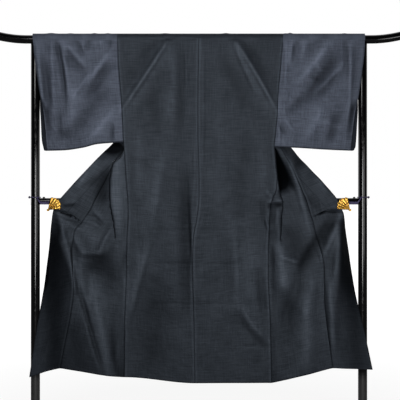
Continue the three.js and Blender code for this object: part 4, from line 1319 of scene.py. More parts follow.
class FrontShape:
    """The drawn-out form of one front: its sections from the side seam to the outer edge."""

    STEP = 3.0
    SOFTEN = 14
    NARROW = 12  # a fold that stands out less than this has no bulge of its own
    BESIDE_OKUMI = {Side.LEFT: 4.0, Side.RIGHT: 26.0}  # width of the flat ridge along the okumi seam
    FOLD, TUCK, OKUMI, COLLAR = 2, 3, 5, 6  # the stretches of a section that end at these places
    SHADE = 14  # how much painted shade darkens a tuck's inside, as millimetres of lift
    UPRIGHT = 0.4  # share of the standing folds' rise that the cloth's form takes; all of it feeds the painted light

    def __init__(self, side: Side) -> None:
        """Prepares the curves of one side's table."""
        self.side = side
        table = FRONTS[side]
        self.curves = {key: table.curve(key, "at") for key in table.columns[1:]}
        self.length = table.rows[-1]["at"]
        self.cache: dict[float, Section] = {}

    def section(self, at: float) -> Section:
        """Returns the softened section at a cloth distance from the shoulder."""
        key = round(float(at), 3)
        if key not in self.cache:
            self.cache[key] = self._make(key)
        return self.cache[key]

    def _stops(self, r: dict[str, float], on_armhole: bool) -> Array:
        """Returns the corner points of a section before it is softened."""
        seam = float(SEAM_X[self.side](r["aZ"]))
        x = self.side.sign * seam
        near = float(NEAR(r["aZ"])) - float(hung(np.array(x), np.array(r["aZ"])))
        depth = float(FAR(r["aZ"])) if on_armhole else near
        out = max(0.0, r["bX"] - seam)
        bulge = r["bulge"] if out > self.NARROW else mix(depth, r["bY"], 0.5)
        flat = np.array([
            (seam, depth),
            (seam + 0.28 * out, mix(depth, bulge, 0.75)),
            (seam + 0.6 * out, bulge),
            (r["bX"], r["bY"] if out > 0 else depth),
            (r["cX"], r["cY"]),
            (r["dX"] - min(self.BESIDE_OKUMI[self.side], 0.5 * abs(r["dX"] - r["cX"])), r["dY"] + 0.5),
            (r["dX"], r["dY"]),
        ])
        along = np.concatenate([[0], np.cumsum(np.hypot(*np.diff(flat, axis=0).T))])
        height = mix(r["aZ"], r["dZ"], along / along[-1])
        return np.vstack([
            np.column_stack([flat, height]),
            (r["sX"], r["sY"], r["sZ"]),
            (r["eX"], r["eY"], r["eZ"]),
        ])

    def _make(self, at: float) -> Section:
        """Works out one section."""
        r = {key: float(curve(at)) for key, curve in self.curves.items()}
        stops = self._stops(r, at < CLOTH.armhole_end + 10)
        points, marks = [stops[:1]], []
        total = 0
        for start, end in zip(stops[:-1], stops[1:]):
            count = max(1, math.ceil(np.linalg.norm(end - start) / self.STEP))
            points.append(mix(start, end, (np.arange(1, count + 1) / count)[:, None]))
            total += count
            marks.append(total)
        line = np.vstack(points)
        for _ in range(self.SOFTEN):
            line[1:-1] = 0.5 * line[1:-1] + 0.25 * (line[:-2] + line[2:])
        arc = np.concatenate([[0], np.cumsum(np.linalg.norm(np.diff(line, axis=0), axis=1))])
        line[:, 0] *= self.side.sign
        fold, tuck, okumi, collar = (arc[marks[i]] for i in (self.FOLD, self.TUCK, self.OKUMI, self.COLLAR))
        middle = (okumi + collar) / 2
        straight = float(np.linalg.norm(stops[self.COLLAR + 1] - stops[self.OKUMI + 1]))
        half = min(collar - okumi, straight) / 2
        return Section(line, arc, fold, tuck, middle - half, middle + half, at)

    def block(
        self,
        rows: Array,
        start: Callable[[Section], float],
        end: Callable[[Section], float],
        shares: Array,
    ) -> Patch:
        """A patch of cloth between two places on each section, with its folds and the painted shade of its
        tucks.

        Args:
            rows: cloth distances from the shoulder.
            start: gives where a row starts on its section.
            end: gives where it ends.
            shares: where the columns stand between the two, from 0 to 1.

        Returns:
            The patch.
        """
        shape = (len(rows), len(shares))
        grid, outward = np.empty((*shape, 3)), np.empty((*shape, 3))
        arcs, standing, panel, inside = (np.empty(shape) for _ in range(4))
        for i, at in enumerate(rows):
            cut = self.section(at)
            places = mix(start(cut), end(cut), shares)
            grid[i], arcs[i] = cut.at(places), places
            turn = ramp(places, 0, 9)[:, None]
            outward[i] = mix(np.array([0.0, -1.0, 0.0]), cut.outward(places) * self.side.sign, turn)
            standing[i] = 1 - ramp(places, cut.fold - 15, 30)
            panel[i] = mix(ramp(places, cut.tuck, 40), ramp(places, 0, 30), ramp(at, 780, 60))
            inside[i] = 1 if self.side is Side.LEFT else 1 - ramp(places, cut.okumi_seam - 30, 20)
        at = rows[:, None]
        x, y, z = np.moveaxis(grid, 2, 0)
        below = ramp(at, CLOTH.armhole_end + 20, 60)
        # Painted shade where the cloth lies deep in a tuck below the armhole; on the right it stops short of
        # the okumi seam.
        tuck_shade = ramp(at, CLOTH.armhole_end, 12) * ramp(y, -8, 13) * inside
        upright = below * standing * relief(STANDING_FOLDS, x, z) * (1 - ramp(at, 800, 80))
        rise = below * panel * relief(PANEL_FOLDS, x, z)
        rise += (1 - below) * relief(FAR_FOLDS, x, z) * off_rail(z, 60)
        waves = ripple(arcs, at + 0 * arcs, 5 + self.side.sign) * ramp(arcs, 0, 40) * ramp(at, 0, 60)
        lift = rise + upright - self.SHADE * tuck_shade
        return Patch(grid, arcs, outward, lift).raised(rise + self.UPRIGHT * upright + waves)


class BodyPanel:
    """One length of cloth from the back hem over the shoulder to the front hem."""

    FLAT = (0.36, 2.77)
    AREA = 0.84
    OVER_LENGTH = 50  # cloth that lies over the rail

    def __init__(self, shape: FrontShape) -> None:
        """Takes the form of the panel's front."""
        self.shape = shape
        self.side = shape.side

    def _columns(self) -> tuple[Array, int]:
        """Returns the columns' shares of the half back, and how many the neck cut spans."""
        whole = float(SEAM_X[self.side](STAND.rail_z))
        neck = spread(0, CLOTH.neck_half, CLOTH.column)[:-1]
        outer = spread(CLOTH.neck_half, whole, CLOTH.column)
        return np.concatenate([neck, outer]) / whole, len(neck)

    def _rows(self) -> Array:
        """Returns the rows' cloth distances, from the shoulder to the hem."""
        count = round(self.shape.length / CLOTH.row)
        return np.linspace(0, self.shape.length, count + 1)

    def _across(self, z: Array, share: Array) -> Array:
        """Returns the place across the back at a height and a share of the half width."""
        sign = self.side.sign
        inner = CENTRE(z) + sign * CLOTH.gap / 2
        return mix(inner, sign * (SEAM_X[self.side](z) - CLOTH.gap / 2), share)

    def _back(self, rows: Array, shares: Array) -> tuple[Array, Array]:
        """Returns the points of the back, from the hem up to the rail, and the rise of its folds with the
        seams' painted highlights and shade.
        """
        at = rows[::-1]
        side_z = np.where(at > CLOTH.armhole_end, self.shape.curves["aZ"](at), STAND.rail_z - at)
        centre_z = mix(CLOTH.hem_centre, STAND.rail_z, 1 - at / self.shape.length)
        z = mix(centre_z[:, None], side_z[:, None], smooth(shares)[None, :])
        x = self._across(z, shares[None, :])
        lift = hung(x, z)
        centre, side = np.abs(x - CENTRE(z)), np.abs(SEAM_X[self.side](z) - np.abs(x))
        sink = mix(0.5, 1.2, ramp(z, ARMHOLE_Z, 20))
        roll = seam_roll(centre, 0.5, 0.6, 1.0) + seam_roll(side, sink, 0.5, 1.2)
        rise = lift + (roll + ripple(x, z, 11) * ramp(side, 0, 40)) * off_rail(z, 40)
        # The seams add painted highlights and lines of painted shade to the lift.
        return np.stack([x, NEAR(z) - rise, z], axis=2), lift + seam_painted_light(centre) + seam_painted_light(side)

    def build(self, finishes: Finishes) -> ClothPiece:
        """Makes the panel. Returns it."""
        shares, neck = self._columns()
        rows = self._rows()
        back, back_lift = self._back(rows, shares)
        x = self._across(STAND.rail_z + RAIL_CLOTH_R * np.sin(OVER_TURN), shares[None, :])
        over = np.stack([x, *over_rail(x, OVER_TURN)], axis=2)
        from_side = 1 - (shares[neck:][::-1] - shares[neck]) / (1 - shares[neck])
        patch = self.shape.block(
            rows[1:], lambda cut: CLOTH.gap / 2, lambda cut: cut.okumi_seam - CLOTH.gap / 2, from_side
        )
        roll = seam_roll(patch.arcs, 0.5, 0.5, 1.0) + seam_roll(patch.arcs[:, -1:] - patch.arcs)
        front = patch.raised(roll * ramp(rows[1:], 60, 60)[:, None]).points[:, ::-1]
        hidden = np.full((len(rows) - 1, neck, 3), np.nan)
        grid = np.concatenate([back, over, np.concatenate([hidden, front], axis=1)])
        # Painted highlight and line of painted shade along the front's side seam.
        seam_lit = patch.lift + seam_painted_light(patch.arcs, 6.0)
        front_lift = np.concatenate([0 * hidden[..., 0], seam_lit[:, ::-1]], axis=1)
        lift = np.concatenate([back_lift, 0 * x, front_lift])
        turned_over = np.linspace(1, self.OVER_LENGTH, OVER_ROWS)
        v = np.concatenate([-rows[::-1], turned_over, self.OVER_LENGTH + rows[1:]])
        u = shares * float(SEAM_X[self.side](STAND.rail_z)) * self.side.sign
        name = self.side.value
        piece = ClothPiece(f"body_cloth_{name}", grid, woven(u, v), lift, CLOTH.wall)
        piece.wear(finishes.silk, "cloth").stand_for(f"body_{name}")
        hems = [back[3, 3:-3] + NEARER, front[-4, 3:-3] + NEARER]
        stitches = stitched(f"hem_stitches_{name}", hems, finishes, 0.013, 17)
        return piece.declare(self.FLAT, self.AREA, stitches)


class OkumiPanel:
    """The long gore sewn to a front's edge."""

    FLAT = (0.17, 0.88)
    AREA = 0.115
    WIDE = 150

    def __init__(self, shape: FrontShape) -> None:
        """Takes the form of the front it is sewn to."""
        self.shape = shape
        self.side = shape.side

    def build(self, finishes: Finishes) -> ClothPiece:
        """Makes the gore. Returns it."""
        start, tip, length = OKUMI_START[self.side], COLLAR_END[self.side], self.shape.length
        upper = np.linspace(start, tip, round((tip - start) / CLOTH.row) + 1)
        lower = np.concatenate([[tip + 0.02, tip + 2], np.arange(tip + 6, length, CLOTH.row), [length]])
        rows = np.concatenate([upper, lower])
        shares = spread(0, self.WIDE, CLOTH.column) / self.WIDE

        def outer(cut: Section) -> float:
            """Returns where the gore ends on a section."""
            if cut.at_distance > tip:
                return cut.end
            return max(cut.collar_seam - CLOTH.gap / 2, cut.okumi_seam + CLOTH.gap / 2 + 0.05)

        patch = self.shape.block(rows, lambda cut: cut.okumi_seam + CLOTH.gap / 2, outer, shares)
        inner, edge = patch.arcs - patch.arcs[:, :1], patch.arcs[:, -1:] - patch.arcs
        sewn = (rows <= tip)[:, None]
        roll = seam_roll(inner) + np.where(sewn, seam_roll(edge, 0.3, 0.1), -0.8 * swell(edge, 2))
        uv = np.stack([self.side.sign * inner, rows[:, None] + 0 * inner], axis=2)
        name = self.side.value
        piece = ClothPiece(f"okumi_cloth_{name}", patch.raised(roll).points, uv, patch.lift, CLOTH.wall)
        piece.wear(finishes.silk, "cloth").stand_for(f"okumi_{name}")
        raised = patch.raised(roll + STITCH_PROUD).points
        free = np.flatnonzero(rows > tip + 8)
        edges = [raised[free, -5], raised[-3, 3:-5]]
        stitches = stitched(f"okumi_stitches_{name}", edges, finishes, 0.013, 13)
        return piece.declare(self.FLAT, self.AREA, stitches)


class CollarBand:
    """The folded band from one front's tip round the neck to the other's."""

    FLAT = (0.06, 1.75)
    WIDE = 56
    BACK_HALF = 60
    NECK_ROWS = 21
    SOFTEN = 6  # rounds of softening where the band turns from the neck to the fronts
    SOFTEN_ROWS = 40  # rows to each side of the middle that they reach

    def __init__(self, shapes: dict[Side, FrontShape]) -> None:
        """Takes the forms of both fronts."""
        self.shapes = shapes
        self.shares = spread(0, self.WIDE, 4) / self.WIDE

    def _run(self, side: Side) -> tuple[Array, Array]:
        """Returns one side's points, from the shoulder to the clipped tip, and the rise of its folds."""
        tip = COLLAR_END[side]
        rows = np.linspace(0, tip, round(tip / CLOTH.row) + 1)
        patch = self.shapes[side].block(
            rows, lambda cut: cut.collar_seam + CLOTH.gap / 2, lambda cut: cut.end, self.shares
        )
        inner, edge = patch.arcs - patch.arcs[:, :1], patch.arcs[:, -1:] - patch.arcs
        rise = seam_roll(inner, 0.3, 0.1) + 0.5 * np.sin(np.pi * self.shares)[None, :]
        return patch.raised(rise - swell(edge, 2.5)).points, patch.lift

    def _neck(self) -> Array:
        """Returns the points round the back of the neck, where the band hangs behind the rail."""
        x = np.linspace(-self.BACK_HALF, self.BACK_HALF, self.NECK_ROWS)[:, None]
        t = self.shares[None, :]
        level = 0 * x * t
        seam = np.stack([x + level, RAIL_CLOTH_R + 0.6 + level, STAND.rail_z - CLOTH.gap + level], axis=2)
        edge = np.stack([0.6 * x + level, RAIL_CLOTH_R + 2 + level, STAND.rail_z - 55 + level], axis=2)
        return mix(seam, edge, t[..., None])

    def build(self, finishes: Finishes) -> ClothPiece:
        """Makes the band. Returns it."""
        (left, left_lift), (right, right_lift) = self._run(Side.LEFT), self._run(Side.RIGHT)
        neck = self._neck()
        grid = np.concatenate([left[::-1], neck, right])
        lift = np.concatenate([left_lift[::-1], 0 * neck[..., 0], right_lift])
        middle = len(left) + self.NECK_ROWS // 2
        part = grid[middle - self.SOFTEN_ROWS : middle + self.SOFTEN_ROWS]
        for _ in range(self.SOFTEN):
            part[1:-1] = 0.5 * part[1:-1] + 0.25 * (part[:-2] + part[2:])
        step = np.linalg.norm(np.diff(grid[:, 0], axis=0), axis=1)
        along = np.concatenate([[0], np.cumsum(step)])
        uv = woven(self.WIDE * self.shares, along)
        piece = ClothPiece("collar_cloth", grid, uv, lift, CLOTH.collar_wall)
        piece.wear(finishes.silk, "cloth").stand_for("collar")
        return piece.declare(self.FLAT, None)


class Sleeve:
    """A flat tube folded over the rail, open at the armhole and the cuff and sewn along its bottom."""

    FLAT = (0.34, 0.94)
    AREA = 0.30
    WIDE = 320
    DEEP = 450
    WEAVE_START = 330  # distance across the weave at the armhole
    CUFF_LOW_Z = 1130  # height at which the cuff's lower corner is read

    def __init__(self, side: Side) -> None:
        """Prepares the curves of one sleeve."""
        self.side = side
        self.edge = {name: CUFFS[side].curve(name, "z") for name in ("near", "far")}
        self.bottom = SLEEVE_BOTTOM[side].curve("z", "x")
        self.lowest = float(self.bottom(SEAM_X[side](ARMHOLE_Z)))
        self.shares = spread(0, self.WIDE, CLOTH.column) / self.WIDE

    def _seam(self, z: Array) -> Array:
        """Returns how far out the sleeve starts at a height."""
        return SEAM_X[self.side](z) + CLOTH.gap / 2

    def _layer(self, name: str, levels: Array) -> tuple[Array, Array]:
        """Returns the points of the near or the far layer.

        Args:
            name: "near" or "far".
            levels: the heights of its rows at the armhole.

        Returns:
            The points, a row for each level, and their folds' rise, lowered by painted shade near the cuff on
            the far layer, which lies in shade.
        """
        level, share = levels[:, None], self.shares[None, :]
        drop = (STAND.rail_z - level) / (STAND.rail_z - self.lowest)
        across = mix(SEAM_X[self.side](level), self.edge["near"](self.CUFF_LOW_Z), share)
        z = mix(STAND.rail_z, self.bottom(across), drop)
        x = mix(self._seam(z), self.edge[name](z), share)
        signed = self.side.sign * x
        edge, below = self.edge[name](z) - x, z - self.bottom(x)
        if name == "near":
            inner, outer, towards, lift, shade = NEAR, CUFF_NEAR, 1, hung(signed, z), 0
        else:
            inner, outer, towards, lift = FAR, CUFF_FAR, -1, relief(FAR_FOLDS, signed, z)
            # Painted shade on the far layer beside the open cuff.
            shade = 9 * ramp(CLOTH.cuff_open_z + 90 - z, 0, 90) * ramp(share, 0.8, 0.1)
        rise = lift + seam_roll(x - self._seam(z)) - 0.9 * swell(edge, 2.4) + 0.8 * swell(edge, wide=5, at=9)
        rise = rise + 0.6 * swell(below, wide=6, at=10) + ripple(signed, z, 21 + len(name))
        y = mix(inner(z), outer(z), smooth(share)) - towards * rise * off_rail(z, 40)
        sewn = ramp(share, 0.9, 0.1) * ramp(CLOTH.cuff_open_z - z, 0, 60)
        middle = mix(NEAR(z) + FAR(z), CUFF_NEAR(z) + CUFF_FAR(z), share) / 2
        return np.stack([signed, mix(y, middle - towards * CLOTH.wall, sewn), z], axis=2), lift - shade

    def build(self, finishes: Finishes) -> ClothPiece:
        """Makes the sleeve. Returns it."""
        count = round((STAND.rail_z - self.lowest) / CLOTH.row)
        levels = np.linspace(STAND.rail_z, self.lowest, count + 1)
        (near, near_lift), (far, far_lift) = self._layer("near", levels), self._layer("far", levels)
        near, near_lift, far, far_lift = near[::-1], near_lift[::-1], far[1:], far_lift[1:]
        z = STAND.rail_z + RAIL_CLOTH_R * np.sin(OVER_TURN)
        x = self.side.sign * mix(self._seam(z), self.edge["near"](z), self.shares[None, :])
        over = np.stack([x, *over_rail(x, OVER_TURN)], axis=2)
        turn = mix(near[:1], far[-1:], 0.5) - np.array([0, 0, 1.5])
        grid = np.concatenate([near, over, far, turn])
        lift = np.concatenate([near_lift, 0 * x, far_lift, near_lift[:1]])
        drops = STAND.rail_z - levels
        v = np.concatenate([-drops[::-1], [0] * OVER_ROWS, drops[1:], [self.DEEP]])
        u = self.side.sign * (self.WEAVE_START + self.WIDE * self.shares)
        name = self.side.value
        piece = ClothPiece(f"sleeve_cloth_{name}", grid, woven(u, v), lift, CLOTH.wall, looped=True)
        piece.wear(finishes.sleeve_lit_silk, "cloth").stand_for(f"sleeve_{name}")
        edges = [near[4:-4, -5] + NEARER, near[2, 4:-4] + NEARER]
        stitches = stitched(f"sleeve_stitches_{name}", edges, finishes, 0.011, 11)
        return piece.declare(self.FLAT, self.AREA, stitches)


# ---- The stand -------------------------------------------------------------------------------------
TUBE_SIDES = 48
Shape = tuple[Array, list[list[int]]]  # points and faces


def ring_faces(rings: int, sides: int, capped: bool) -> list[list[int]]:
    """Joins rings of points one after another.

    Args:
        rings: how many rings there are.
        sides: how many points each has.
        capped: whether the first and the last are closed. If not, the last joins the first.

    Returns:
        The faces.
    """
    faces = []
    for i in range(rings - 1 if capped else rings):
        low, high = i * sides, (i + 1) % rings * sides
        faces += [[low + k, low + (k + 1) % sides, high + (k + 1) % sides, high + k] for k in range(sides)]
    if capped:
        faces += [list(range(sides))[::-1], [(rings - 1) * sides + k for k in range(sides)]]
    return faces


def swept(path: Array, radii: Array, sides: int = TUBE_SIDES) -> Shape:
    """A round tube along a path, its ends closed.

    Args:
        path: the middle line, points by 3.
        radii: the radius at each point.
        sides: how many flats go round it.

    Returns:
        The points and the faces.
    """
    tangent = np.gradient(path, axis=0)
    tangent /= np.linalg.norm(tangent, axis=1, keepdims=True)
    across = np.cross(tangent[0], [0.31, 0.95, 0.07])
    angle = np.linspace(0, 2 * np.pi, sides, endpoint=False)[:, None]
    rings = []
    for centre, ahead, radius in zip(path, tangent, radii):
        across = across - ahead * across.dot(ahead)
        across /= np.linalg.norm(across)
        rings.append(centre + radius * (np.cos(angle) * across + np.sin(angle) * np.cross(ahead, across)))
    return np.concatenate(rings), ring_faces(len(path), sides, capped=True)


def turned(
    profile: Sequence[tuple[float, float]], centre: Sequence[float], sides: int = 56, lying: bool = False
) -> Shape:
    """A closed profile of (radius, height) turned about an axis.

    Args:
        profile: the corners in order.
        centre: the axis's foot.
        sides: how many flats go round it.
        lying: whether the axis points to -Y and not up.

    Returns:
        The points and the faces.
    """
    angle = np.linspace(0, 2 * np.pi, sides, endpoint=False)
    points = np.concatenate([
        np.stack([radius * np.cos(angle), radius * np.sin(angle), 0 * angle + height], axis=1)
        for radius, height in profile
    ])
    if lying:
        points = points[:, [0, 2, 1]] * [1, -1, 1]
    return points + np.asarray(centre), ring_faces(len(profile), sides, capped=False)


def slab(front: Array, back: Array, flipped: bool) -> Shape:
    """A closed plate between two grids of points.

    Args:
        front: the points of one face, rows by columns by 3.
        back: the points of the other face.
        flipped: whether its faces are turned round, as on a mirrored plate.

    Returns:
        The points and the faces.
    """
    rows, columns = front.shape[:2]
    shift = rows * columns
    faces = []
    for i in range(rows - 1):
        for k in range(columns - 1):
            a, b = i * columns + k, (i + 1) * columns + k
            faces += [[a, a + 1, b + 1, b], [a + shift, b + shift, b + shift + 1, a + shift + 1]]
    edge = list(range(columns)) + [i * columns + columns - 1 for i in range(1, rows)]
    edge += [(rows - 1) * columns + k for k in range(columns - 2, -1, -1)]
    edge += [i * columns for i in range(rows - 2, 0, -1)]
    faces += [[a, a + shift, b + shift, b] for a, b in zip(edge, edge[1:] + edge[:1])]
    if flipped:
        faces = [face[::-1] for face in faces]
    return np.concatenate([front.reshape(-1, 3), back.reshape(-1, 3)]), faces


class Stand:
    """The black stand: an upturned rail and a middle bar between two posts on flat feet."""

    STATIONS = 60  # rings of points along a post or the bar

    def __init__(self, finishes: Finishes) -> None:
        """Keeps the finishes."""
        self.finishes = finishes

    def _piece(self, name: str, shape: Shape, *nodes: str) -> MeshPiece:
        """Makes and dresses one black piece. Returns it."""
        piece = MeshPiece(name, *shape)
        piece.object.data.set_sharp_from_angle(angle=math.radians(40))
        return piece.wear(self.finishes.lacquer, "lacquer").stand_for(*nodes)

    def rail(self) -> MeshPiece:
        """Makes the top rail with its upturned, domed ends. Returns it."""
        x = np.linspace(-STAND.rail_half, STAND.rail_half, 121)
        over = np.maximum(0, np.abs(x) - STAND.rail_straight)
        path = np.stack([x, 0 * x, STAND.rail_z + STAND.rail_rise * over**2], axis=1)
        radii = np.full(len(x), STAND.rail_r)
        slope = 2 * STAND.rail_rise * (STAND.rail_half - STAND.rail_straight)
        out = np.array([1, 0, slope]) / math.hypot(1, slope)
        ends, tips = [], []
        for depth, share in ((-1.5, 0.985), (0.0, 0.93), (1.0, 0.82), (1.6, 0.55), (1.8, 0.15)):
            ends.append(path[-1] + out * depth)
            tips.append(STAND.rail_r * share)
        mirrored = [point * [-1, 1, 1] for point in ends]
        path = np.vstack([mirrored[::-1], path[2:-2], ends])
        radii = np.concatenate([tips[::-1], radii[2:-2], tips])
        return self._piece("rail", swept(path, radii), "top_rail")

    def post(self, side: Side) -> MeshPiece:
        """Makes a post, hollowed at the top to sit round the rail's underside. Returns it."""
        x = side.sign * STAND.post_x
        heights = np.linspace(STAND.foot_high + CLOTH.gap, STAND.rail_z - STAND.saddle, self.STATIONS)
        path = np.stack([0 * heights + x, 0 * heights, heights], axis=1)
        points, faces = swept(path, np.full(self.STATIONS, STAND.post_r))
        top = points[-TUBE_SIDES:]
        under = np.sqrt(np.maximum(0, (STAND.rail_r + CLOTH.gap) ** 2 - top[:, 1] ** 2))
        top[:, 2] = STAND.rail_z - np.maximum(STAND.saddle, under)
        return self._piece(f"upright_{side.value}", (points, faces), f"post_{side.value}")

    def bar(self) -> MeshPiece:
        """Makes the middle bar between the posts. Returns it."""
        inner = STAND.post_x - STAND.post_r - 1
        x = np.linspace(-inner, inner, self.STATIONS)
        path = np.stack([x, 0 * x, 0 * x + STAND.bar_z], axis=1)
        return self._piece("crossbar", swept(path, np.full(self.STATIONS, STAND.bar_r), 40), "middle_bar")

    def knob(self, side: Side) -> MeshPiece:
        """Makes the small round catch on the bar beside its post. Returns it."""
        profile = [(0.4, 0), (5.0, 0), (5.0, 3.4), (4.2, 4.8), (2.4, 5.6), (0.4, 5.8)]
        centre = (side.sign * (STAND.post_x - 34), 0, STAND.bar_z + STAND.bar_r - 1)
        return self._piece(f"catch_{side.value}", turned(profile, centre, 24))

    def socket(self, side: Side) -> MeshPiece:
        """Makes the ring where a post meets its foot. Returns it."""
        inner, low = STAND.post_r + CLOTH.gap, STAND.foot_high + CLOTH.gap
        high, wide = STAND.foot_high + STAND.socket_high, STAND.socket_r
        profile = [
            (inner, low), (wide - 0.8, low), (wide, low + 0.8), (wide, high - 7), (wide - 0.8, high - 4),
            (wide - 2.4, high - 1.6), (wide - 4.6, high - 0.4), (inner + 0.6, high), (inner, high - 0.6),
        ]
        centre = (side.sign * STAND.post_x, 0, 0)
        return self._piece(f"collar_ring_{side.value}", turned(profile, centre), f"socket_{side.value}")

    def foot(self, side: Side) -> MeshPiece:
        """Makes a flat foot with round ends and softened edges. Returns it."""
        long, wide = STAND.foot_long / 2, STAND.foot_wide / 2
        arc = np.linspace(0, np.pi, 25)
        rings = []
        for inset, height in ((1.2, 0), (0, 1.2), (0, 25), (0.8, 27.6), (2.4, 29.3), (4.6, 30)):
            r = wide - inset
            far_end = np.stack([r * np.cos(arc), long - wide + r * np.sin(arc)], axis=1)
            outline = np.vstack([far_end, -far_end])
            rings.append(np.column_stack([outline, np.full(len(outline), height)]))
        points = np.concatenate(rings) + [side.sign * STAND.post_x, 0, 0]
        faces = ring_faces(len(rings), len(rings[0]), capped=True)
        return self._piece(f"base_{side.value}", (points, faces), f"foot_{side.value}")

    def build(self) -> None:
        """Makes every piece of the stand."""
        self.rail()
        self.bar()
        for side in Side:
            self.post(side)
            self.knob(side)
            self.socket(side)
            self.foot(side)


# ---- Clips and straps ------------------------------------------------------------------------------
@dataclass
class Clip:
    """A gilt clip: a ribbed fan in front of the collar's tip, a plain jaw behind it and a hinge."""

    side: Side
    hinge_x: float = 604
    hinge_z: float = 876
    reach: float = 56
    spread: float = 0.66
    lean: float = 0.72
    scallops: int = 5
    lobe: float = 3.0
    thick: float = 3.0
    jaw_share: float = 0.62
    jaw_thick: float = 1.6
    slack: float = 1.6
    cloth_y: float = -19

    def _rim(self, t: Array, lobe: float) -> Array:
        """Returns the fan's radius at a share of its spread."""
        scallop = np.abs(np.sin(np.pi * self.scallops * t))
        return self.reach * (0.86 + 0.14 * np.sin(np.pi * t)) + lobe * scallop

    def _place(self, radius: Array, t: Array, y: Array) -> Array:
        """Returns points of the fan at a radius, a share of the spread and a depth."""
        angle = self.lean + self.spread * (2 * t - 1)
        x = self.side.sign * (self.hinge_x - radius * np.cos(angle))
        return np.stack(np.broadcast_arrays(x, y, self.hinge_z + radius * np.sin(angle)), axis=2)

    def _plate(self, reach: float, lobe: float, front: float, back: float, ribbed: bool) -> Shape:
        """A closed fan-shaped plate between two depths.

        Args:
            reach: share of the fan's full radius.
            lobe: height of its scallops.
            front: depth of its front face.
            back: depth of its back face.
            ribbed: whether its front is raised in ribs.

        Returns:
            The points and the faces.
        """
        t = np.linspace(0, 1, 12 * self.scallops + 1)[None, :]
        share = np.concatenate([np.linspace(0.06, 0.95, 22), [0.98, 1.0]])[:, None]
        radius = share * reach * self._rim(t, lobe)
        crown = np.sqrt(np.maximum(0, 1 - share**6))
        ribs = np.abs(np.sin(np.pi * self.scallops * t)) ** 0.7
        veins = 0.25 * np.cos(share * 34) * (share > 0.3)
        height = crown * (0.5 + (1.9 * ribs * smooth(share * 2.2) + veins if ribbed else 0 * ribs))
        near = self._place(radius, t, front + 0.8 - height)
        far = self._place(radius, t, back + 0 * radius)
        return slab(near, far, flipped=self.side is Side.LEFT)

    def build(self, finishes: Finishes) -> None:
        """Makes the fan, the jaw, the hinge and the rim's beads."""
        clear = CLOTH.collar_wall / 2 + self.slack
        near, far = self.cloth_y - clear, self.cloth_y + clear
        front = near - self.thick
        name = self.side.value
        fan = MeshPiece(f"fan_{name}", *self._plate(1.0, self.lobe, front, near, True))
        fan.wear(finishes.gilt, "clip_gold").stand_for(f"clip_{name}")
        jaw = MeshPiece(f"jaw_{name}", *self._plate(self.jaw_share, 0.0, far, far + self.jaw_thick, False))
        jaw.wear(finishes.gilt, "clip_gold").stand_for()
        half = clear + self.thick
        low = [(0.5, -half), (4.2, -half), (5.0, -half + 0.8)]
        profile = low + [(radius, -height) for radius, height in reversed(low)]
        centre = (self.side.sign * self.hinge_x, self.cloth_y, self.hinge_z)
        hinge = MeshPiece(f"hinge_{name}", *turned(profile, centre, 28, lying=True))
        hinge.object.data.set_sharp_from_angle(angle=math.radians(40))
        hinge.wear(finishes.gilt, "clip_gold").stand_for()
        t = np.linspace(0.01, 0.99, 12 * self.scallops + 1)[None, :]
        rim = [self._place(share * self._rim(t, self.lobe), t, front - 1 + 0 * t)[0] for share in (0.95, 0.5)]
        beads = GrownPiece(
            f"beads_{name}", rim, Growth.PICKS, finishes.gilt,
            {"Step": 0.0034, "Radius": 0.0013, "Stretch": 1.0, "Seed": 3},
        )
        beads.wear(finishes.gilt, "clip_gold").stand_for()


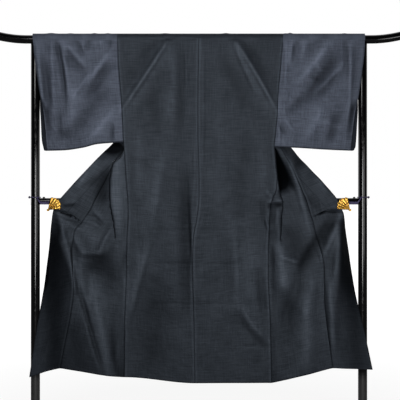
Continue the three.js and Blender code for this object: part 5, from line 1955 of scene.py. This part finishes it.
@dataclass
class Strap:
    """A twisted cord round the post, knotted outside it, and a satin ribbon to the clip."""

    side: Side
    z: float = 905
    wide: float = 11
    thick: float = 1.4
    loop_z: float = 927
    cord: float = 2.0
    cord_turns: float = 14.0
    knot_cord: float = 1.7
    knot_turns: float = 9.0
    y: float = -15.6
    end_x: float = 600

    def _loop(self) -> Array:
        """Returns the middle line of the cord round the post."""
        ring = STAND.post_r + 0.4 + self.cord
        angle = np.linspace(0, 2 * np.pi, 161)[:-1]
        across = self.side.sign * STAND.post_x + ring * np.cos(angle)
        return np.stack([across, ring * np.sin(angle), 0 * angle + self.loop_z], axis=1)

    def _knot(self) -> Array:
        """Returns the middle line of the knot: turns of cord wound over one another."""
        out = STAND.post_x + STAND.post_r + 2 * self.cord + 2
        centre = np.array([self.side.sign * out, 0, self.loop_z])
        t = np.linspace(0, 2 * np.pi, 121)[:-1]
        return centre + np.stack([
            2.2 * np.cos(2 * t) + 1.4 * np.cos(5 * t),
            2.6 * np.sin(3 * t),
            2.6 * np.sin(2 * t) - 1.4 * np.sin(5 * t),
        ], axis=1)

    def _ribbon(self) -> Shape:
        """Returns the ribbon from the cord to the clip."""
        t = np.linspace(0, 1, 40)[:, None]
        s = np.linspace(-1, 1, 7)[None, :]
        outer = STAND.post_x - 4
        x = mix(float(self.end_x), float(outer), t)
        narrow = mix(1.0, 0.35, ramp(t, 0.62, 0.38))
        rise = (self.loop_z - self.z) * ramp(t, 0.6, 0.4)
        sag = -1.6 * np.sin(np.pi * np.clip(t / 0.7, 0, 1))
        z = self.z + rise + sag + s * self.wide / 2 * narrow
        y = self.y - 4.0 * ramp(t, 0.5, 0.5) + 0.7 * np.cos(s * 2.2) + 0.5 * np.sin(9 * t)
        front = np.stack(np.broadcast_arrays(self.side.sign * x, y, z), axis=2)
        return slab(front, front + np.array([0, self.thick, 0]), flipped=self.side is Side.RIGHT)

    def build(self, finishes: Finishes) -> None:
        """Makes the cord, the knot and the ribbon."""
        name = self.side.value
        cords = (
            ("cord", self._loop(), self.cord, self.cord_turns),
            ("knot", self._knot(), self.knot_cord, self.knot_turns),
        )
        for piece, path, radius, turns in cords:
            made = GrownPiece(
                f"{piece}_{name}", [path], Growth.CORD, finishes.braid,
                {"Radius": radius * MM, "Turns": turns}, closed=True,
            )
            made.wear(finishes.braid, "strap_cord").stand_for(*[f"strap_{name}"] * (piece == "cord"))
        MeshPiece(f"ribbon_{name}", *self._ribbon()).wear(finishes.braid, "strap_cord").stand_for()


def main() -> None:
    """Builds the studio, the stand and the garment."""
    logging.basicConfig(level=logging.INFO, format="%(name)s: %(message)s")
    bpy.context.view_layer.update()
    Studio().build()
    LOG.info("studio ready")
    finishes = Finishes()
    shapes = {side: FrontShape(side) for side in Side}
    pieces = [CollarBand(shapes).build(finishes)]
    for side, shape in shapes.items():
        pieces += [part.build(finishes) for part in (BodyPanel(shape), OkumiPanel(shape), Sleeve(side))]
    for piece in pieces:
        LOG.info("cut and hung %s", piece.object.name)
    Stand(finishes).build()
    LOG.info("stood the stand")
    for side in Side:
        Clip(side).build(finishes)
        Strap(side).build(finishes)
        LOG.info("clipped the %s front", side.value)


if __name__ == "__main__":
    main()
